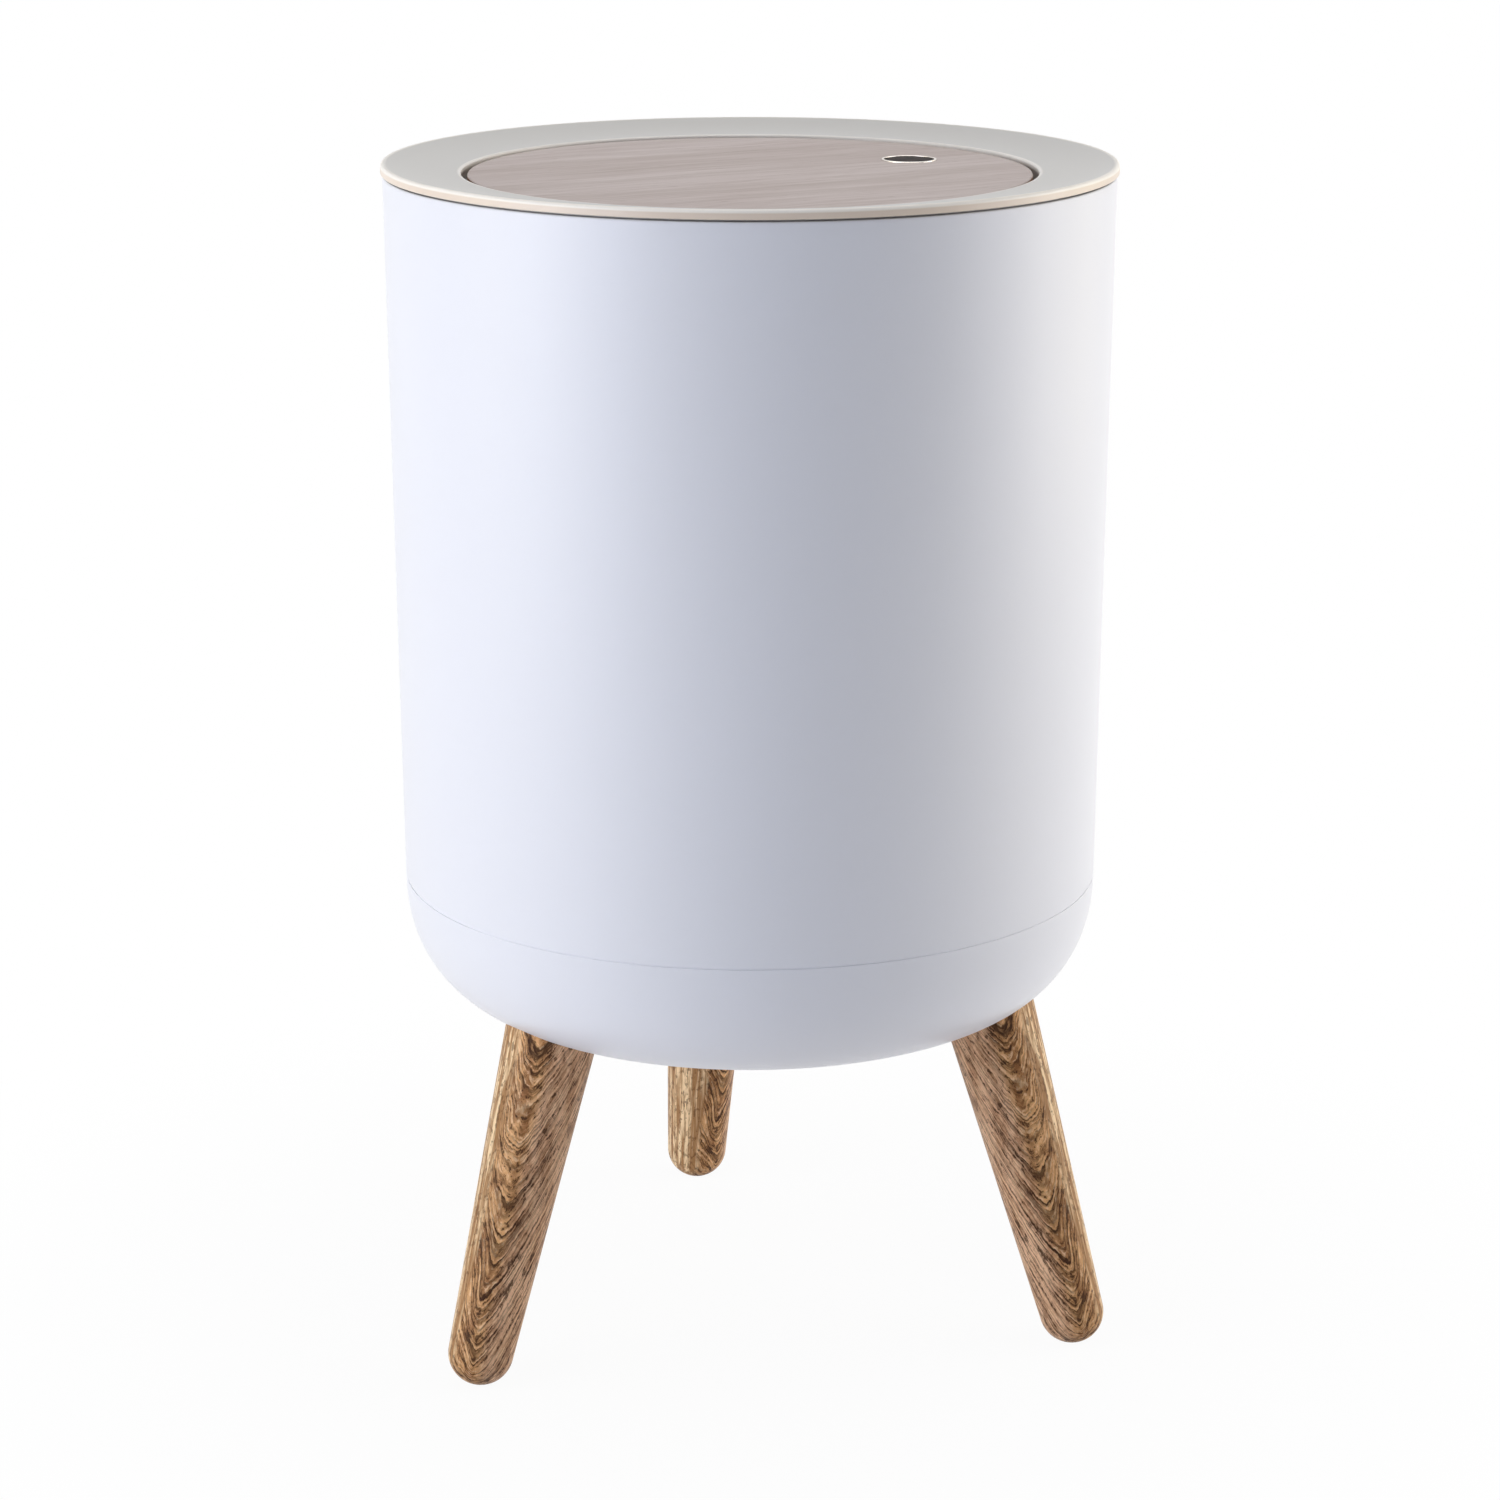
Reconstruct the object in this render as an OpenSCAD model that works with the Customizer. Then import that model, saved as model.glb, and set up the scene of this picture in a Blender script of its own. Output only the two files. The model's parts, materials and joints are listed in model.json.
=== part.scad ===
// Push-top bin: a straight-sided barrel in a rounded base cup on three splayed legs, a lift-off
// lid with a sprung push panel and push latch, and a lift-out bucket with a wire handle.
// Millimetres, +Z up, floor at z = 0, the press side faces -Y and the panel hinges at +Y.

/* [Overall] */
// Outside diameter of the lid ring
lid_d = 260; // [252:1:276]
// Height from the floor to the top edge of the lid ring
total_h = 430; // [415:1:480]
// Height of the seam between the barrel and the base cup
seam_z = 171.4; // [167:0.2:178]
// Height of the flat underside of the base cup
cup_bottom_z = 122.2; // [117:0.2:126]

/* [Barrel] */
// How far the lid ring stands out past the top of the barrel
lid_overhang = 0.7; // [0.3:0.1:1.2]
// How much smaller the radius of the barrel is at the seam than at its rim
barrel_taper = 2.8; // [1:0.1:4]
// Wall of the barrel
barrel_wall = 2.4; // [2:0.1:3]
// Thickness of the barrel's floor
barrel_floor_t = 2.6; // [2:0.1:4]
// Height of the barrel's floor above its lower edge
barrel_skirt_h = 6; // [4:0.5:9]
// Rounding of the barrel's rim
rim_round = 0.6; // [0.3:0.1:0.9]
// Open joint line at the seam
seam_gap = 0.4; // [0.2:0.1:0.6]

/* [Base cup] */
// Wall of the base cup
cup_wall = 2.6; // [2:0.1:3.4]
// Width of the rounded lower corner of the cup
cup_corner_w = 46.8; // [42:0.2:52]
// Fullness of the rounded corner, 1 is a true ellipse
cup_corner_power = 0.9; // [0.85:0.01:1]
// Radial play between the cup's spigot and the barrel
spigot_play = 0.3; // [0.2:0.05:0.5]
// Wall of the spigot
spigot_wall = 2.4; // [2:0.1:3]
// Diameter of the posts that the base screws go into
post_d = 10; // [9:0.5:13]
// Distance of the posts inside the edge of the cup's flat underside
post_in = 19.7; // [15:0.1:30]
// Shaft diameter of the base screws
base_screw_d = 4; // [3:0.1:4.5]
// Length of the base screws under the head
base_screw_len = 16; // [12:1:20]

/* [Legs] */
// Tilt of each leg from the vertical
leg_tilt = 16.5; // [13:0.5:18]
// Turn of the legs about the bin's axis against the lid
leg_turn = 9.5; // [0:0.5:15]
// Distance of the foot centres outside the barrel's radius at the seam
foot_out = -0.1; // [-6:0.1:5]
// Diameter of the rounded foot
foot_d = 23.6; // [20:0.2:26]
// Diameter of the flat that each foot stands on
foot_flat_d = 7; // [5:0.5:9]
// Diameter of the leg's top end
leg_top_d = 33.4; // [30:0.2:36]
// Height of the leg's top end above the underside of the cup, on the leg's axis
leg_plug_h = 15; // [13:0.5:18]
// Straight length at the leg's top, inside its socket
leg_straight = 13; // [11:0.5:15]
// Radial play between leg and socket
leg_play = 0.25; // [0.15:0.05:0.4]
// Gap between the leg's end and the floor of its socket
leg_seat = 0.05; // [0.02:0.01:0.1]
// Wall of the leg sockets
socket_wall = 3; // [2.5:0.1:4]
// Shaft diameter of the leg studs
stud_d = 6; // [5:0.5:7]
// Length of each stud inside the leg
stud_in_leg = 24; // [18:1:30]
// Length of each stud inside its insert
stud_out = 10; // [8:0.5:11]
// Outside diameter of the threaded inserts
insert_d = 9; // [8.4:0.2:10]
// Length of the threaded inserts
insert_len = 12; // [11:0.5:14]

/* [Lid ring] */
// Width of the lid ring, from its outside to its hole
lid_ring_w = 28.2; // [27:0.1:30]
// Height of the lid ring's side band
band_h = 3.3; // [2.8:0.1:4]
// Wall of the side band
band_t = 1.6; // [1.2:0.1:2]
// Depth of the dished top face at the hole
lid_dish = 3.5; // [3:0.1:4]
// Curvature of the dish, 1 is a straight cone
dish_power = 1.7; // [1.2:0.1:2.2]
// Thickness of the lid ring's top skin
lid_skin = 2; // [1.6:0.1:2.2]
// Rounding of the lid ring's outer top edge
band_round = 1.2; // [0.8:0.1:1.5]
// Rounding of the hole's edge
lip_round = 0.8; // [0.4:0.1:1.1]
// Depth of the collar that hangs down around the hole
collar_h = 7.5; // [7:0.1:8.5]
// Wall of the collar
collar_t = 2; // [1.6:0.1:2.2]
// Shadow gap between the lid ring and the barrel's rim
shadow_gap = 0.6; // [0.4:0.1:0.9]

/* [Lid frame] */
// Radial play between the frame's skirt and the barrel
lid_play = 0.5; // [0.4:0.05:0.8]
// Depth of the skirt inside the barrel
skirt_h = 14; // [12:0.5:20]
// Wall of the skirt, the inner wall and the web
frame_t = 2; // [1.6:0.1:2.4]
// Thickness of the flange that rests on the barrel's rim
flange_t = 1; // [0.8:0.1:1.2]
// Gap between the lid ring's collar and the frame's inner wall
frame_gap = 2.2; // [1.8:0.1:2.6]
// Distance of the lid screws inside the lid's outside
lid_screw_in = 15; // [14:0.25:16]
// Shaft diameter of all small screws
small_screw_d = 2.6; // [2.2:0.1:3]
// Height of the heads of the lid and bracket screws
small_head_h = 1.6; // [1.2:0.1:2]
// Wall of the bosses around the small screws
boss_wall = 2; // [1.6:0.1:2.4]
// Height of those bosses
boss_h = 4; // [3:0.1:4.2]
// How far a lid screw ends below the top of its boss
lid_screw_short = 0.5; // [0.3:0.1:0.8]
// How far a bracket screw ends below the top of its boss
bracket_screw_short = 1.5; // [1.2:0.1:1.8]

/* [Push panel] */
// Gap around the push panel
panel_gap = 2.2; // [1.8:0.1:2.6]
// Depth of the panel's face below the hole's edge
panel_drop = 0.85; // [0.5:0.05:1.2]
// Thickness of the panel's face disc
panel_top_t = 2.5; // [2.2:0.1:3]
// Thickness of the panel base's plate
panel_plate_t = 2.5; // [2:0.1:3]
// Depth of the panel base's skirt below its plate
panel_skirt_h = 8.6; // [7.5:0.1:9]
// Wall of the panel base's skirt
panel_skirt_t = 2.2; // [1.8:0.1:2.6]
// Setback of the panel base from the edge of the face disc
panel_base_in = 1; // [0.6:0.1:1.5]
// Rounding of the face disc's edge
panel_round = 0.6; // [0.3:0.1:0.8]
// Distance of the face disc's screws inside the panel's edge
panel_screw_in = 29.6; // [20:0.2:36]
// Length of those screws
panel_screw_len = 3.8; // [3.4:0.1:4]
// Diameter of the face disc's screw bosses
panel_boss_d = 6; // [5:0.2:6.6]
// Diameter of the flat heads of the panel screws
washer_head_d = 8; // [7.4:0.2:9]
// Height of those heads
washer_head_h = 1.2; // [0.8:0.1:1.6]
// Outside diameter of the badge
badge_d = 20; // [16:0.2:26]
// Width of the badge's rim
badge_rim_w = 0.9; // [0.6:0.1:1.6]
// Distance of the badge's centre inside the panel's edge
badge_in = 33.1; // [24:0.1:40]
// Depth of the badge's recess
badge_recess = 1; // [0.8:0.1:1.2]
// How far the badge's rim stands above the face
badge_proud = 0.35; // [0.2:0.05:0.6]

/* [Hinge] */
// Distance of the hinge axis behind the panel's edge
hinge_behind = 9.9; // [9.6:0.1:10.4]
// Depth of the hinge axis below the panel's face
hinge_drop = 6.15; // [5.9:0.05:6.4]
// Diameter of the hinge pin
pin_d = 3; // [2.6:0.1:3.2]
// Radial play of the pin in its bores
pin_play = 0.05; // [0.03:0.01:0.1]
// Distance of each swan-neck arm from the middle
arm_x = 16; // [14:0.5:18]
// Width of each arm
arm_w = 5; // [4:0.2:5.6]
// Thickness of the arms' bars
arm_t = 3; // [2.6:0.1:3.2]
// Depth of the arms below the hinge axis
arm_depth = 12; // [11.8:0.1:13]
// Reach of the arms in front of the hinge axis
arm_reach = 17; // [16:0.2:18]
// Wall around the pin in the arms and the ears
pin_wall = 1.65; // [1.4:0.05:1.8]
// Gap between an arm and its ear
ear_gap = 1; // [0.6:0.1:1.4]
// Width of each ear
ear_w = 4; // [3:0.2:5]
// Thickness of the bracket's plates
bracket_t = 2.2; // [1.8:0.1:2.6]
// Distance of the bracket's screws outside its ears
bracket_screw_out = 7; // [6:0.2:9]
// Distance of the bracket's and the latch's screws outside the frame's inner wall
bracket_screw_back = 6; // [5.6:0.1:8]
// Room between the bracket and the cut-away ring and frame
bay_gap = 1; // [0.8:0.1:1.4]
// Wire diameter of the hinge spring
hinge_wire_d = 1; // [0.8:0.1:1.1]

/* [Push latch] */
// Distance of the latch inside the panel's edge
latch_in = 11.6; // [11.2:0.2:13]
// Length of the striker below the panel base
striker_len = 11.4; // [11:0.1:12]
// Width of the striker's tongue
striker_w = 7.4; // [7.2:0.1:7.8]
// Thickness of the tongue
striker_t = 2.4; // [2:0.1:2.8]
// Thickness of the striker's base plate
striker_base_t = 1.5; // [1.2:0.1:2]
// Distance of the striker's screws from the middle
striker_screw_x = 8; // [7.4:0.2:10]
// How far those screws bite into the panel base
striker_screw_bite = 1.8; // [1.4:0.1:2]
// Distance of the latch housing's screws from the middle
latch_screw_x = 9; // [8:0.2:12]
// How far the striker goes down when the panel is pressed
press_travel = 2.6; // [2.2:0.1:2.8]
// Depth of the heart-shaped cam groove in the tongue
cam_depth = 0.8; // [0.6:0.1:1]
// Width of the cam groove
cam_w = 1.3; // [1.2:0.05:1.4]
// Height of the cam's notch above the tongue's end
cam_up = 4.3; // [4.2:0.1:4.6]
// Wire diameter of the follower that rides in the groove
follower_d = 0.8; // [0.6:0.1:0.9]
// Room between the tongue and the follower's upright wire
follower_gap = 1; // [0.8:0.1:1.2]
// Radial play of the tongue in the housing's bore
tongue_play = 0.45; // [0.4:0.05:0.6]
// How far the tongue stands in the bore at rest
tongue_in = 2.1; // [1.5:0.1:3]
// Wall of the latch housing around its bore
guide_wall = 2; // [1.6:0.1:2.2]
// Depth of the housing's underside below the lid ring's collar
latch_depth = 18; // [17.5:0.1:20]
// Wire diameter of the latch spring
latch_wire_d = 0.6; // [0.5:0.1:0.7]
// Mean diameter of its coils
latch_coil_d = 3.3; // [3:0.1:3.4]

/* [Bucket] */
// Room between the bucket's rim and the barrel, for the handle
bucket_gap = 11; // [10:0.2:13]
// How much smaller the bucket's radius is at its foot
bucket_taper = 12; // [8:0.5:20]
// Wall of the bucket
bucket_wall = 1.8; // [1.4:0.1:2.4]
// Room between the bucket's rim and the latch housing
bucket_headroom = 5; // [3:0.5:12]
// Width of the bucket's rim
bucket_rim_w = 4; // [3:0.2:4.6]
// Height of the bucket's foot ring
bucket_foot_h = 4; // [3.5:0.5:7]
// Depth of the handle's pivot below the bucket's rim
bail_drop = 10; // [9:0.5:14]
// Wire diameter of the handle
bail_wire_d = 3.5; // [3:0.1:4]
// Hang of the folded handle below the horizontal, in degrees
bail_hang = 18; // [10:0.5:19]

/* [Hidden] */
$fn = 96;
eps = 0.01;

// Colours
white = [0.93, 0.93, 0.95];
cream = [0.84, 0.80, 0.74];
face_wood = [0.76, 0.68, 0.62];
leg_wood = [0.66, 0.48, 0.33];
dark = [0.16, 0.13, 0.12];
steel = [0.72, 0.72, 0.74];
brass = [0.80, 0.66, 0.36];

// Levels of the lid, from the top down
lip_z = total_h - lid_dish;
face_z = lip_z - panel_drop;
disc_z = face_z - panel_top_t;
plate_z = disc_z - panel_plate_t;
band_z = total_h - band_h;
rim_z = band_z - shadow_gap;
web_top = lip_z - collar_h;
web_z = web_top - frame_t;
hinge_z = face_z - hinge_drop;
latch_z = web_top - latch_depth;

// Radii of the lid, and the angles of its screws
quarters = [45, 135, 225, 315];
lid_r = lid_d / 2;
hole_r = lid_r - lid_ring_w;
panel_r = hole_r - panel_gap;
base_r = panel_r - panel_base_in;
inner_wall_r = hole_r + collar_t + frame_gap;
lid_screw_r = lid_r - lid_screw_in;

// Barrel and cup
barrel_top_r = lid_r - lid_overhang;
seam_r = barrel_top_r - barrel_taper;
floor_z = seam_z + barrel_skirt_h;
floor_top = floor_z + barrel_floor_t;
spigot_r = seam_r - barrel_wall - spigot_play;
corner_in_r = seam_r - cup_corner_w;
post_circle_r = corner_in_r - post_in;
corner_steps = 20;
base_screw_head_h = 2.2;
base_screw_head_d = 2 * base_screw_d;

// Legs
foot_r = foot_d / 2;
foot_circle_r = seam_r + foot_out;
foot_z = sqrt(pow(foot_r, 2) - pow(foot_flat_d / 2, 2));
leg_len = (cup_bottom_z + leg_plug_h - foot_z) / cos(leg_tilt);
leg_top_r = leg_top_d / 2;
socket_r = leg_top_r + leg_play;
insert_boss_r = insert_d / 2 + socket_wall;
leg_angles = [for (i = [0 : 2]) 90 + leg_turn + 120 * i];
post_angles = [for (a = leg_angles) a + 60];

// Hinge, latch and small screws
hinge_y = panel_r + hinge_behind;
pin_bore_r = pin_d / 2 + pin_play;
knuckle_r = pin_d / 2 + pin_wall;
ear_x = arm_x + arm_w / 2 + ear_gap + ear_w / 2;
bracket_back_y = hinge_y + knuckle_r + bracket_t;
bracket_side_x = ear_x + ear_w / 2;
bracket_screw_x = bracket_side_x + bracket_screw_out;
bracket_screw_y = inner_wall_r + bracket_screw_back;
hinge_bay_x = bracket_side_x + bay_gap;
spring_notch_x = arm_x - arm_w / 2 - 3;
hinge_bay_y = bracket_back_y + 1.5;
latch_y = -(panel_r - latch_in);
latch_screw_y = -bracket_screw_y;
screw_r = small_screw_d / 2;
screw_bore_r = screw_r + 0.05;
screw_head_r = screw_r * 2;
boss_r = screw_r + boss_wall;
striker_z = plate_z - striker_len;
guide_floor_z = latch_z + guide_wall;
guide_r = norm([striker_w, striker_t]) / 2 + tongue_play;
guide_top = striker_z + tongue_in;
guide_out_r = guide_r + guide_wall;
follower_r = follower_d / 2;
follower_y = striker_t / 2 + follower_gap + follower_r;
follower_z = guide_floor_z + follower_r + 0.8;
cam_heart = [[0, 0], [1.1, 0.7], [1.6, -0.2], [0, -2.6], [-1.6, -0.2], [-1.1, 0.7]];
notch_z = striker_z + cam_up;
follower_tip_z = notch_z + follower_r + 0.2;
panel_boss_r = panel_boss_d / 2;
washer_head_r = washer_head_d / 2;
panel_screw_r = panel_r - panel_screw_in;
badge_y = -(panel_r - badge_in);

// Bucket and handle
bucket_r = barrel_top_r - barrel_wall - bucket_gap;
bucket_foot_r = bucket_r - bucket_taper;
bucket_top = latch_z - bucket_headroom;
bail_z = bucket_top - bail_drop;
bail_r = bucket_r + bucket_rim_w + bail_wire_d / 2 + 0.75;
bail_bore_r = bail_wire_d / 2 + 0.2;
bail_knuckle_r = bail_wire_d / 2 + 0.3;
ear_boss_r = bail_bore_r + 3;

// The origin is the middle of the footprint on the floor, so the bin's axis stands in front of it
axis_y = (lid_r - foot_circle_r * sin(leg_angles[0]) - foot_r) / 2;

function barrel_r(z) = seam_r + barrel_taper * (z - seam_z) / (rim_z - seam_z);
function bucket_wall_r(z) = bucket_r - bucket_taper * (bucket_top - z) / (bucket_top - floor_top);
function dish_t(r) = (r - hole_r) / (lid_r - band_round - hole_r);
function dish_z(r) = lip_z + lid_dish * pow(max(0, dish_t(r)), dish_power);

// Points of a quarter round from angle a to angle b about [r, z]
function arc(r, z, radius, a, b, steps) =
    [for (i = [0 : steps]) let (t = a + (b - a) * i / steps) [r + radius * cos(t), z + radius * sin(t)]];

// Points of the cup's rounded corner, from the side wall (0) to the flat bottom (90)
function corner(w, h, from) =
    [for (i = [0 : corner_steps])
        let (t = from + (90 - from) * i / corner_steps)
        [corner_in_r + w * pow(cos(t), cup_corner_power), seam_z - h * pow(sin(t), cup_corner_power)]];

module on_axis() {
    translate([0, axis_y, 0]) children();
}

module on_leg(a) {
    translate([foot_circle_r * cos(a), foot_circle_r * sin(a), foot_z])
        rotate([0, 0, a]) rotate([0, -leg_tilt, 0]) children();
}

module around(r, angles) {
    for (a = angles) rotate([0, 0, a]) translate([r, 0, 0]) children();
}

// A bar from x = -half to x = half with the outline given in the y-z plane
module along_x(half) {
    rotate([90, 0, 90]) translate([0, 0, -half]) linear_extrude(2 * half) children();
}

// A tube of the given radius swept along a path whose tangents stay square to ref
module wire(path, radius, ref, sides) {
    n = len(path);
    rings = [for (i = [0 : n - 1])
        let (
            d = path[min(i + 1, n - 1)] - path[max(i - 1, 0)],
            t = d / norm(d),
            b0 = cross(t, ref),
            b = b0 / norm(b0),
            m = cross(b, t)
        )
        for (k = [0 : sides - 1])
            let (a = 360 * k / sides)
            path[i] + radius * (cos(a) * m + sin(a) * b)];
    skin = [for (i = [0 : n - 2], k = [0 : sides - 1])
        let (a = i * sides + k, b = i * sides + (k + 1) % sides)
        each [[a, a + sides, b + sides], [a, b + sides, b]]];
    first = [for (k = [0 : sides - 1]) k];
    last = [for (k = [0 : sides - 1]) n * sides - 1 - k];
    polyhedron(points = rings, faces = concat(skin, [first, last]), convexity = 10);
}

module screw(head_r, head_h, shaft_r, length) {
    translate([0, 0, -head_h]) cylinder(h = head_h, r = head_r);
    translate([0, 0, -eps]) cylinder(h = length + eps, r = shaft_r);
}

module outer_shell() {
    color(white) on_axis() difference() {
        rotate_extrude() polygon([
            [0, floor_z], [barrel_r(floor_z) - barrel_wall, floor_z],
            [barrel_r(seam_z) - barrel_wall, seam_z + seam_gap / 2], [seam_r, seam_z + seam_gap / 2],
            each arc(barrel_top_r - rim_round, rim_z - rim_round, rim_round, 0, 90, 4),
            [barrel_top_r - barrel_wall, rim_z], [barrel_r(floor_top) - barrel_wall, floor_top],
            [0, floor_top]
        ]);
        around(post_circle_r, post_angles)
            translate([0, 0, floor_z - 1]) cylinder(h = barrel_floor_t + 2, r = base_screw_d / 2 + 0.2);
    }
}

// Profile of the cup's outside, closed along the bin's axis
module cup_outline() {
    polygon([
        [0, seam_z - seam_gap / 2], [seam_r, seam_z - seam_gap / 2],
        each corner(cup_corner_w, seam_z - cup_bottom_z, 3), [0, cup_bottom_z]
    ]);
}

// Profile of the cup's inside, up to the foot of its spigot
module cup_hollow() {
    polygon([
        [0, floor_z + 1], [spigot_r - spigot_wall, floor_z + 1], [spigot_r - spigot_wall, seam_z - 12],
        each corner(cup_corner_w - cup_wall, seam_z - cup_bottom_z - cup_wall, 25),
        [0, cup_bottom_z + cup_wall]
    ]);
}

module base_cup() {
    color(white) on_axis() difference() {
        union() {
            difference() {
                rotate_extrude() union() {
                    cup_outline();
                    translate([0, seam_z - 12]) square([spigot_r, floor_z - seam_z + 12]);
                }
                rotate_extrude() cup_hollow();
            }
            intersection() {
                rotate_extrude() cup_outline();
                for (a = leg_angles) on_leg(a) {
                    translate([0, 0, leg_len - leg_straight - 20])
                        cylinder(h = leg_straight + 20 + socket_wall, r = socket_r + socket_wall);
                    translate([0, 0, leg_len])
                        cylinder(h = insert_len + socket_wall, r = insert_boss_r);
                }
            }
            around(post_circle_r, post_angles)
                translate([0, 0, cup_bottom_z + cup_wall / 2])
                    cylinder(h = floor_z - cup_bottom_z - cup_wall / 2, r = post_d / 2);
        }
        for (a = leg_angles) on_leg(a) {
            translate([0, 0, leg_len - leg_straight - 20])
                cylinder(h = leg_straight + 20 + leg_seat, r = socket_r);
            translate([0, 0, leg_len - 1]) cylinder(h = insert_len + 1, r = insert_d / 2);
        }
        around(post_circle_r, post_angles)
            translate([0, 0, floor_top - base_screw_len - 1])
                cylinder(h = base_screw_len + 2, r = base_screw_d / 2 + 0.05);
    }
}

module leg(a) {
    color(leg_wood) on_axis() difference() {
        on_leg(a) difference() {
            union() {
                sphere(r = foot_r);
                cylinder(h = leg_len - leg_straight, r1 = foot_r, r2 = leg_top_r);
                translate([0, 0, leg_len - leg_straight - eps])
                    cylinder(h = leg_straight + eps, r = leg_top_r);
            }
            translate([0, 0, leg_len - stud_in_leg]) cylinder(h = stud_in_leg + 1, r = stud_d / 2 + 0.05);
        }
        translate([0, 0, -foot_r]) cube([2 * lid_d, 2 * lid_d, 2 * foot_r], center = true);
    }
}

module leg_rear() {
    leg(leg_angles[0]);
}

module leg_front_left() {
    leg(leg_angles[1]);
}

module leg_front_right() {
    leg(leg_angles[2]);
}

module leg_studs() {
    color(steel) on_axis() for (a = leg_angles) on_leg(a)
        translate([0, 0, leg_len - stud_in_leg]) cylinder(h = stud_in_leg + stud_out, r = stud_d / 2);
}

module leg_inserts() {
    color(brass) on_axis() for (a = leg_angles) on_leg(a) translate([0, 0, leg_len]) difference() {
        cylinder(h = insert_len, r = insert_d / 2);
        translate([0, 0, -1]) cylinder(h = insert_len + 2, r = stud_d / 2 + 0.05);
    }
}

module base_screws() {
    color(steel) on_axis() around(post_circle_r, post_angles)
        translate([0, 0, floor_top]) rotate([180, 0, 0])
            screw(base_screw_head_d / 2, base_screw_head_h, base_screw_d / 2, base_screw_len);
}

// The dished ring that frames the panel, with its side band and its collar
module lid_ring() {
    steps = 10;
    top_r = lid_r - band_round;
    dish = [for (i = [0 : steps]) let (r = top_r + (hole_r + lip_round - top_r) * i / steps) [r, dish_z(r)]];
    under = [for (i = [0 : steps])
        let (r = hole_r + collar_t + (lid_r - band_t - hole_r - collar_t) * i / steps)
        [r, dish_z(min(r, top_r)) - lid_skin]];
    color(cream) on_axis() difference() {
        union() {
            rotate_extrude() polygon([
                [lid_r - band_t, band_z], [lid_r, band_z],
                each arc(top_r, total_h - band_round, band_round, 0, 80, 5), each dish,
                each arc(hole_r + lip_round, lip_z - lip_round, lip_round, 100, 180, 4),
                [hole_r, web_top], [hole_r + collar_t, web_top], each under
            ]);
            around(lid_screw_r, quarters)
                translate([0, 0, web_top + 0.05]) cylinder(h = lip_z - 0.25 - web_top, r = boss_r);
        }
        around(lid_screw_r, quarters)
            translate([0, 0, web_top - 1]) cylinder(h = boss_h + 1, r = screw_bore_r);
        translate([-hinge_bay_x, 0, web_top - 1])
            cube([2 * hinge_bay_x, hole_r + collar_t + 1, lip_z - lid_skin - web_top + 0.8]);
    }
}

// The inner ring that seats in the barrel and carries the hinge and the latch
module lid_frame() {
    skirt_r = barrel_top_r - barrel_wall - lid_play;
    flange_r = lid_r - band_t - 0.2;
    wall_top = lip_z - lid_skin - 0.3;
    color(white) on_axis() difference() {
        union() {
            rotate_extrude() polygon([
                [inner_wall_r, web_z], [skirt_r - frame_t, web_z], [skirt_r - frame_t, rim_z - skirt_h],
                [skirt_r, rim_z - skirt_h], [skirt_r, rim_z], [flange_r, rim_z],
                [flange_r, rim_z + flange_t], [skirt_r, rim_z + flange_t],
                [skirt_r - frame_t, rim_z + flange_t / 2],
                [skirt_r - frame_t, web_top], [inner_wall_r + frame_t, web_top],
                [inner_wall_r + frame_t, wall_top], [inner_wall_r, wall_top]
            ]);
            bracket_screw_places() translate([0, 0, web_top - eps]) cylinder(h = boss_h, r = boss_r);
        }
        around(lid_screw_r, quarters)
            translate([0, 0, web_z - 1]) cylinder(h = frame_t + 2, r = screw_bore_r);
        bracket_screw_places()
            translate([0, 0, web_z - 1]) cylinder(h = boss_h + frame_t, r = screw_bore_r);
        translate([-hinge_bay_x, 0, web_z - 1])
            cube([2 * hinge_bay_x, hinge_bay_y, wall_top - web_z + 2]);
    }
}

module lid_screws() {
    color(steel) on_axis() around(lid_screw_r, quarters)
        translate([0, 0, web_z])
            screw(screw_head_r, small_head_h, screw_r, frame_t + boss_h - lid_screw_short);
}

module bracket_screw_places() {
    for (side = [-1, 1]) {
        translate([side * bracket_screw_x, bracket_screw_y, 0]) children();
        translate([side * latch_screw_x, latch_screw_y, 0]) children();
    }
}

module bracket_screws() {
    color(steel) on_axis() bracket_screw_places()
        translate([0, 0, web_z - bracket_t])
            screw(screw_head_r, small_head_h, screw_r, bracket_t + frame_t + boss_h - bracket_screw_short);
}

// The bridge under the lid frame that holds the hinge pin in two ears
module hinge_bracket() {
    flange_x = bracket_screw_x + boss_r + 1;
    flange_y = bracket_screw_y - boss_r - 1;
    flange_d = 2 * (boss_r + 1);
    color(white) on_axis() difference() {
        union() {
            for (side = [-1, 1]) translate([side * ear_x, 0, 0]) along_x(ear_w / 2) union() {
                translate([hinge_y, hinge_z]) circle(r = knuckle_r);
                translate([hinge_y, web_z - bracket_t])
                    square([bracket_back_y - hinge_y, hinge_z + knuckle_r - web_z + bracket_t]);
                translate([hinge_y - knuckle_r, web_z - bracket_t])
                    square([knuckle_r + 1, hinge_z - web_z + bracket_t]);
            }
            translate([-bracket_side_x, bracket_back_y - bracket_t, web_z - bracket_t])
                cube([2 * bracket_side_x, bracket_t, hinge_z + knuckle_r - web_z + bracket_t]);
            for (side = [-1, 1]) translate([side < 0 ? -flange_x : bracket_side_x - ear_w / 2, flange_y,
                web_z - bracket_t]) cube([flange_x - bracket_side_x + ear_w / 2, flange_d, bracket_t]);
        }
        for (side = [-1, 1]) translate([side * bracket_screw_x, bracket_screw_y, web_z - bracket_t - 1])
            cylinder(h = bracket_t + 2, r = screw_bore_r);
        translate([-lid_r / 2, hinge_y, hinge_z]) rotate([0, 90, 0]) cylinder(h = lid_r, r = pin_bore_r);
    }
}

module hinge_pin() {
    color(steel) on_axis() translate([-bracket_side_x - 0.5, hinge_y, hinge_z]) rotate([0, 90, 0])
        cylinder(h = 2 * bracket_side_x + 1, r = pin_d / 2);
}

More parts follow.
